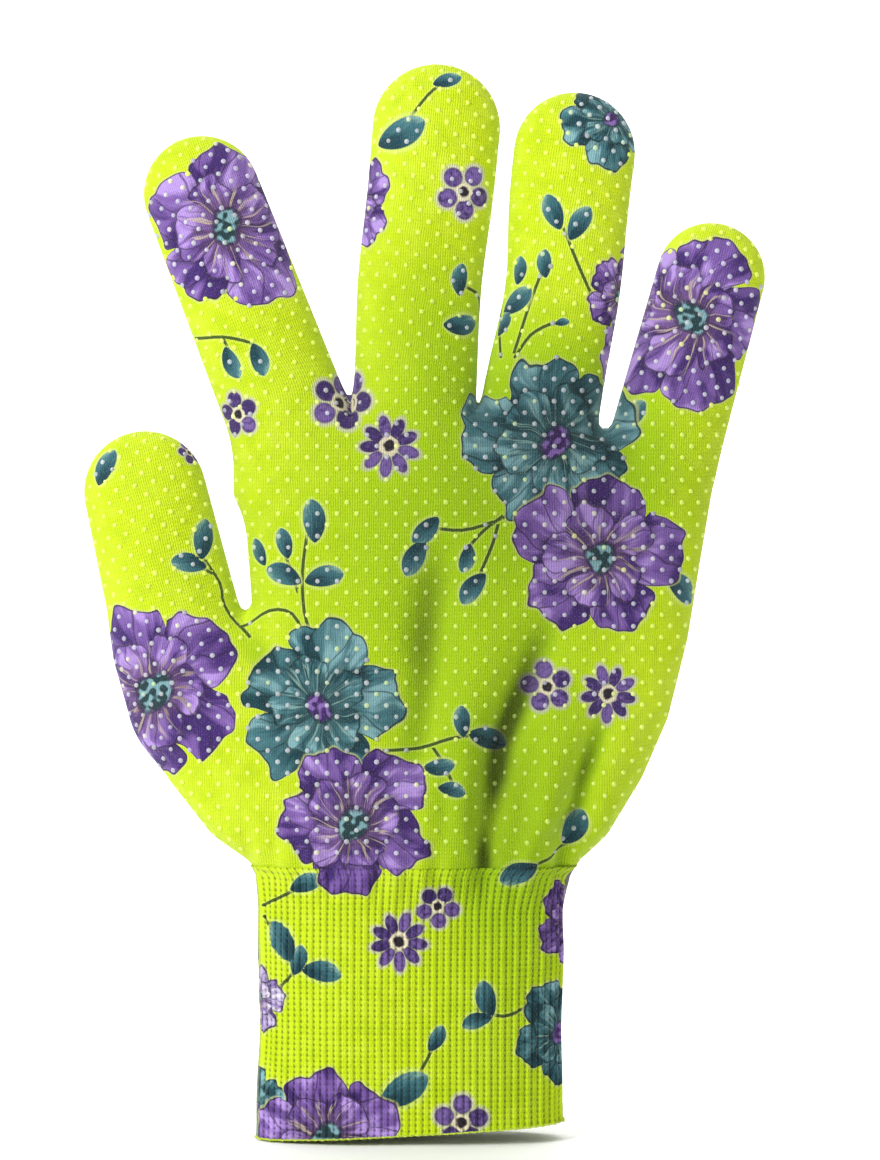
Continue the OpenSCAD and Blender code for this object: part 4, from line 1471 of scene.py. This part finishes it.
def cloth_print(net, x, z):
    colour = lime_ground(net, x, z)
    for layer in (stem_layer, leaf_layer, small_layer):
        colour = layer(net, colour)
    # slow noise that bends the flowers' outlines, and specks for their centres
    kx, kz, _ = net.attribute("kn")
    warp_u = net.noise(kx * 0.095, kz * 0.095, 1.0, detail=1.0) - 0.5
    warp_v = net.noise(kx * 0.095 + 31.0, kz * 0.095, 4.0, detail=1.0) - 0.5
    speck = net.noise(kx * 0.62, kz * 0.62, 4.0, detail=0.0)
    for name, teal in (("mE", True), ("mA", False)):
        colour = flower_layer(net, colour, name, teal, warp_u, warp_v, speck)
    return colour


# ------------------------------------------------------------------ materials
WALE, COURSE = 1.02, 0.80      # the hand's stitch width and height
CLOTH_ROUGHNESS = 0.88


def stitches(wales, courses, slope):
    """Two slanting legs to a stitch: height 0-1, and the wave along the wale."""
    across = abs(wales - floor(wales) - 0.5)
    leg = sine(smallest(across * 2.0, 1.0) * math.pi)
    wave = cosine((courses + across * slope * 2.0) * TURN) * 0.5 + 0.5
    return leg * (wave * 0.55 + 0.45), wave


def finish_cloth(net, colour, height, depth, fuzz):
    """Colour, stitch relief and the soft fluff of cotton; depth in mm."""
    net.surface({
        "Base Color": colour,
        "Normal": net.bump(height * depth + fuzz * 0.04, distance=1.0 * MM, strength=1.0),
        "Specular IOR Level": 0.22,
        "Sheen Weight": 0.13,
        "Sheen Roughness": 0.45,
        "Sheen Tint": (0.95, 1.0, 0.75, 1),
    })
    return net.material


def printed_jersey():
    net = Net("printed_jersey", CLOTH_ROUGHNESS)
    kx, kz, ky = net.attribute("kn")
    # painted shade: the print is multiplied by the shade factor
    colour = net.gain(cloth_print(net, kx, kz), net.attribute("sh")[1])
    wobble = net.noise(kx * 0.12, kz * 0.12, 9.0, detail=1.0)
    height, _ = stitches(kx / WALE + (wobble - 0.5) * 1.0,
                         kz / COURSE + (wobble - 0.5) * 1.4, slope=0.62)
    yarn = net.noise(kx * 3.1, kz * 3.1, 1.0, detail=2.0)
    # painted shade darkens the gaps between stitches, and pale specks of painted highlight lie on the yarn
    colour = net.mix(step(height, 0.50, 0.05) * 0.16, colour, net.gain(colour, 0.45))
    colour = net.mix(step(yarn, 0.55, 0.80) * 0.14, colour, (240, 244, 190))
    # bare line along the sides, where the print stops, mottled from a dark olive painted shadow to pale bare
    # cloth
    bare = step(abs(ky) + (yarn - 0.5) * 0.7, 0.75, 0.15)
    bare_and_shadow_colour = net.mix(step(yarn, 0.35, 0.65), (112, 122, 74), (196, 204, 140))
    colour = net.mix(bare * 0.60, colour, bare_and_shadow_colour)
    return finish_cloth(net, colour, height, 0.16, yarn)


def plain_knit(name, wale, course, slope, yarn_x, low, high, gap, crest, depth):
    """Unprinted inner face: gap colour as painted shade and crest colour as painted highlight, blended over
    heights low to high.
    """
    net = Net(name, CLOTH_ROUGHNESS)
    kx, kz, _ = net.attribute("kn")
    wales = kx if wale is None else kx / wale
    height, _ = stitches(wales, kz / course, slope)
    yarn = net.noise(kx * yarn_x, kz * 3.1, 1.0, detail=2.0)
    # painted shade in the gaps between stitches, painted highlight on their crests
    colour = net.mix(step(height, low, high), gap, crest)
    return finish_cloth(net, colour, height, depth, yarn)


def printed_rib():
    net = Net("rib_knit_printed", CLOTH_ROUGHNESS)
    kx, kz, from_edge = net.attribute("kn")
    tone = net.attribute("sh")[1]
    wobble = net.noise(kx * 0.10, kz * 0.10, 9.0, detail=2.0)
    wales = kx + 0.5
    # painted shade: the print is multiplied by the shade factor
    colour = net.gain(cloth_print(net, kx * 1.47, kz), tone)
    height, wave = stitches(wales, kz / 1.22 + (wobble - 0.5) * 0.8, slope=0.40)
    yarn = net.noise(kx * 5.0, kz * 3.1, 1.0, detail=2.0)
    # painted shade in the valleys between wales, stronger where the painted shade factor is low and darker
    # still in the holes, and a painted highlight on the crests
    valley = step(abs(wales - floor(wales) - 0.5), 0.26, 0.48)
    hole = valley * step(wave, 0.45, 0.95)
    shade = step(tone, 1.0, 0.86, low=0.16, high=0.42)
    colour = net.mix(valley * shade, colour, net.gain(colour, 0.58))
    colour = net.mix(hole * 0.58, colour, net.gain(colour, 0.42))
    colour = net.gain(colour, step(wave * (1.0 - valley), 0.55, 1.0, low=1.00, high=1.10))
    bare = step(abs(from_edge) + (yarn - 0.5) * 0.8, 1.0, 0.3)
    colour = net.mix(bare * 0.55, colour, (146, 150, 112))
    return finish_cloth(net, colour, height - hole * 0.6, 0.28, yarn)


def twisted_yarn(name, dark, light, roughness, twist):
    """Slanting plies along each thread; twist is in radians per mm."""
    net = Net(name, roughness)
    place = net.tree.nodes.new("ShaderNodeTexCoord").outputs["Object"]
    x, y, z = [value * 1000.0 for value in net.separate(place)]
    ply = sine((x + y * 1.3 + z * 1.7) * twist) * 0.5 + 0.5
    fuzz = net.noise(x * 4.0, y * 4.0, z * 4.0, detail=2.0)
    net.surface({
        "Base Color": net.mix(smallest(ply * 0.7 + fuzz * 0.45, 1.0), dark, light),
        "Sheen Weight": 0.2,
        "Specular IOR Level": 0.25,
        "Normal": net.bump(ply + fuzz * 0.6, distance=0.08 * MM, strength=0.9),
    })
    return net.material


def clear_dots():
    """Clear soft plastic over the print."""
    net = Net("clear_grip_dots", 0.30)
    kx, kz, _ = net.attribute("kn")
    colour = cloth_print(net, kx, kz)
    vary = net.random(floor(kx * 0.7), floor(kz * 0.7), 0.0)
    grey = net.tree.nodes.new("ShaderNodeRGBToBW")
    net.put(grey.inputs[0], colour)
    brightness = Number(net, grey.outputs[0])
    # cloudy white over dark motifs, light lime over the ground
    cloud = net.mix(step(brightness, 0.16, 0.42), (232, 236, 240), (238, 255, 126))
    colour = net.mix(0.38 + vary * 0.16, colour, cloud)
    grain = net.noise(kx * 2.0, kz * 2.0, 3.0, detail=2.0)
    # painted shade: the base colour takes most of the shade factor
    net.surface({
        "Base Color": net.gain(colour, net.attribute("sh")[1] * 0.80 + 0.20),
        "Roughness": step(grain, 0.3, 0.7, low=0.24, high=0.40),
        "Coat Weight": 0.35,
        "Coat Roughness": 0.18,
        "Normal": net.bump(grain, distance=0.03 * MM, strength=0.4),
    })
    return net.material


# First word of an object's name: its materials and its slot
LOOKS = {
    "skin": ([printed_jersey()], "printed_knit"),
    "inside": ([plain_knit("jersey_inside", wale=WALE, course=COURSE, slope=0.62, yarn_x=3.1,
                           low=0.1, high=0.8, gap=(176, 190, 88), crest=(216, 226, 146),
                           depth=0.16)], "printed_knit"),
    # the cuff's stitch coordinate already counts wales
    "cuff": ([printed_rib(),
              plain_knit("rib_knit_inside", wale=None, course=1.04, slope=0.40, yarn_x=5.0,
                         low=0.05, high=0.75, gap=(150, 172, 50), crest=(206, 222, 118),
                         depth=0.26)], "cuff_knit"),
    "overlock": ([twisted_yarn("overlock_yarn", (150, 176, 22), (206, 226, 74),
                               roughness=0.8, twist=7.0)], "overlock_thread"),
    "elastic": ([twisted_yarn("covered_elastic", (196, 200, 170), (236, 238, 220),
                              roughness=0.6, twist=9.0)], "elastic"),
    "dots": ([clear_dots()], "grip_dots"),
}
for name, o in objects.items():
    materials, slot = LOOKS[name.split("_")[0]]
    for material in materials:
        o.data.materials.append(material)

# ------------------------------------------------------------------ parts replaced
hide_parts("cuff_rib")
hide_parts("cuff_overlock")
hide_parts("cuff_elastic")
for name in ("skin_palm", "skin_wrist", "inside_palm", "inside_wrist"):
    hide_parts("palm_thumb_section")
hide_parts("palm_finger_section")
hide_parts("palm_thumb_section_dots", "palm_finger_section_dots")
if "dots_wrist" in objects:
    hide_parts("palm_thumb_section_dots")
for name, finger in FINGERS.items():
    for part in finger.parts:
        piece = f"{name}_{part}"
        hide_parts(piece + ("" if part == "tip" else "_tube"))
        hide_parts(piece + "_dots")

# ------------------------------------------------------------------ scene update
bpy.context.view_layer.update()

# ------------------------------------------------------------------ floor, lights, camera (m)
# name: place, aim, size, power in watts
LIGHTS = {
    "key": ((-0.75, -0.62, 0.62), (0, 0, 0.12), (0.45, 0.45), 9.8),
    "fill": ((0.5, -0.95, 0.30), (0, 0, 0.12), (0.9, 0.9), 2.8),
    "top": ((0.1, 0.0, 1.1), (0, 0.1, 0.1), (0.9, 0.9), 2.5),
    "back": ((0.0, 0.45, 1.0), (0, 1.4, 0.25), (1.6, 0.6), 26.0),
}


def studio_floor():
    """Paper floor that curves up behind the glove."""
    bend_y, bend_radius = 1.0, 0.6
    profile = [(-3.0, 0.0), (bend_y, 0.0)]
    for i in range(1, 13):
        t = i / 12 * math.pi / 2
        profile.append((bend_y + bend_radius * math.sin(t),
                        bend_radius - bend_radius * math.cos(t)))
    profile.append((bend_y + bend_radius, 3.4))
    verts = [(x, y, z) for y, z in profile for x in (-3.5, 3.5)]
    faces = [(2 * i, 2 * i + 1, 2 * i + 3, 2 * i + 2) for i in range(len(profile) - 1)]
    me = bpy.data.meshes.new("backdrop")
    me.from_pydata(verts, [], faces)
    me.polygons.foreach_set("use_smooth", np.ones(len(faces), bool))
    o = bpy.data.objects.new("backdrop", me)
    bpy.context.scene.collection.objects.link(o)
    paper = Net("backdrop_paper", 0.9)
    paper.surface({"Base Color": (0.93, 0.93, 0.93, 1), "Specular IOR Level": 0.1})
    me.materials.append(paper.material)
    return o


def area_light(name, place, aim, sides, power):
    light = bpy.data.lights.new(name, "AREA")
    light.shape = "RECTANGLE"
    light.size, light.size_y = sides
    light.energy = power
    o = bpy.data.objects.new(name, light)
    o.location = place
    o.rotation_euler = (Vector(aim) - Vector(place)).to_track_quat("-Z", "Y").to_euler()
    bpy.context.scene.collection.objects.link(o)
    return o


def white_world():
    world = bpy.data.worlds.new("studio")
    bpy.context.scene.world = world
    world.use_nodes = True
    background = world.node_tree.nodes["Background"]
    background.inputs["Color"].default_value = (1, 1, 1, 1)
    background.inputs["Strength"].default_value = 0.38


def add_camera():
    """Looks along +Y at the palm side."""
    camera = bpy.data.cameras.new("camera")
    camera.lens = 100
    camera.sensor_fit = "VERTICAL"
    camera.sensor_height = 36
    o = bpy.data.objects.new("camera", camera)
    o.location = (6.0 * MM, -701.8 * MM, 121.5 * MM)
    o.rotation_euler = (math.pi / 2, 0, 0)
    bpy.context.scene.collection.objects.link(o)
    bpy.context.scene.camera = o


backdrop = studio_floor()
[area_light(name, *values) for name, values in LIGHTS.items()]
white_world()
add_camera()
bpy.context.scene.view_settings.view_transform = "Standard"
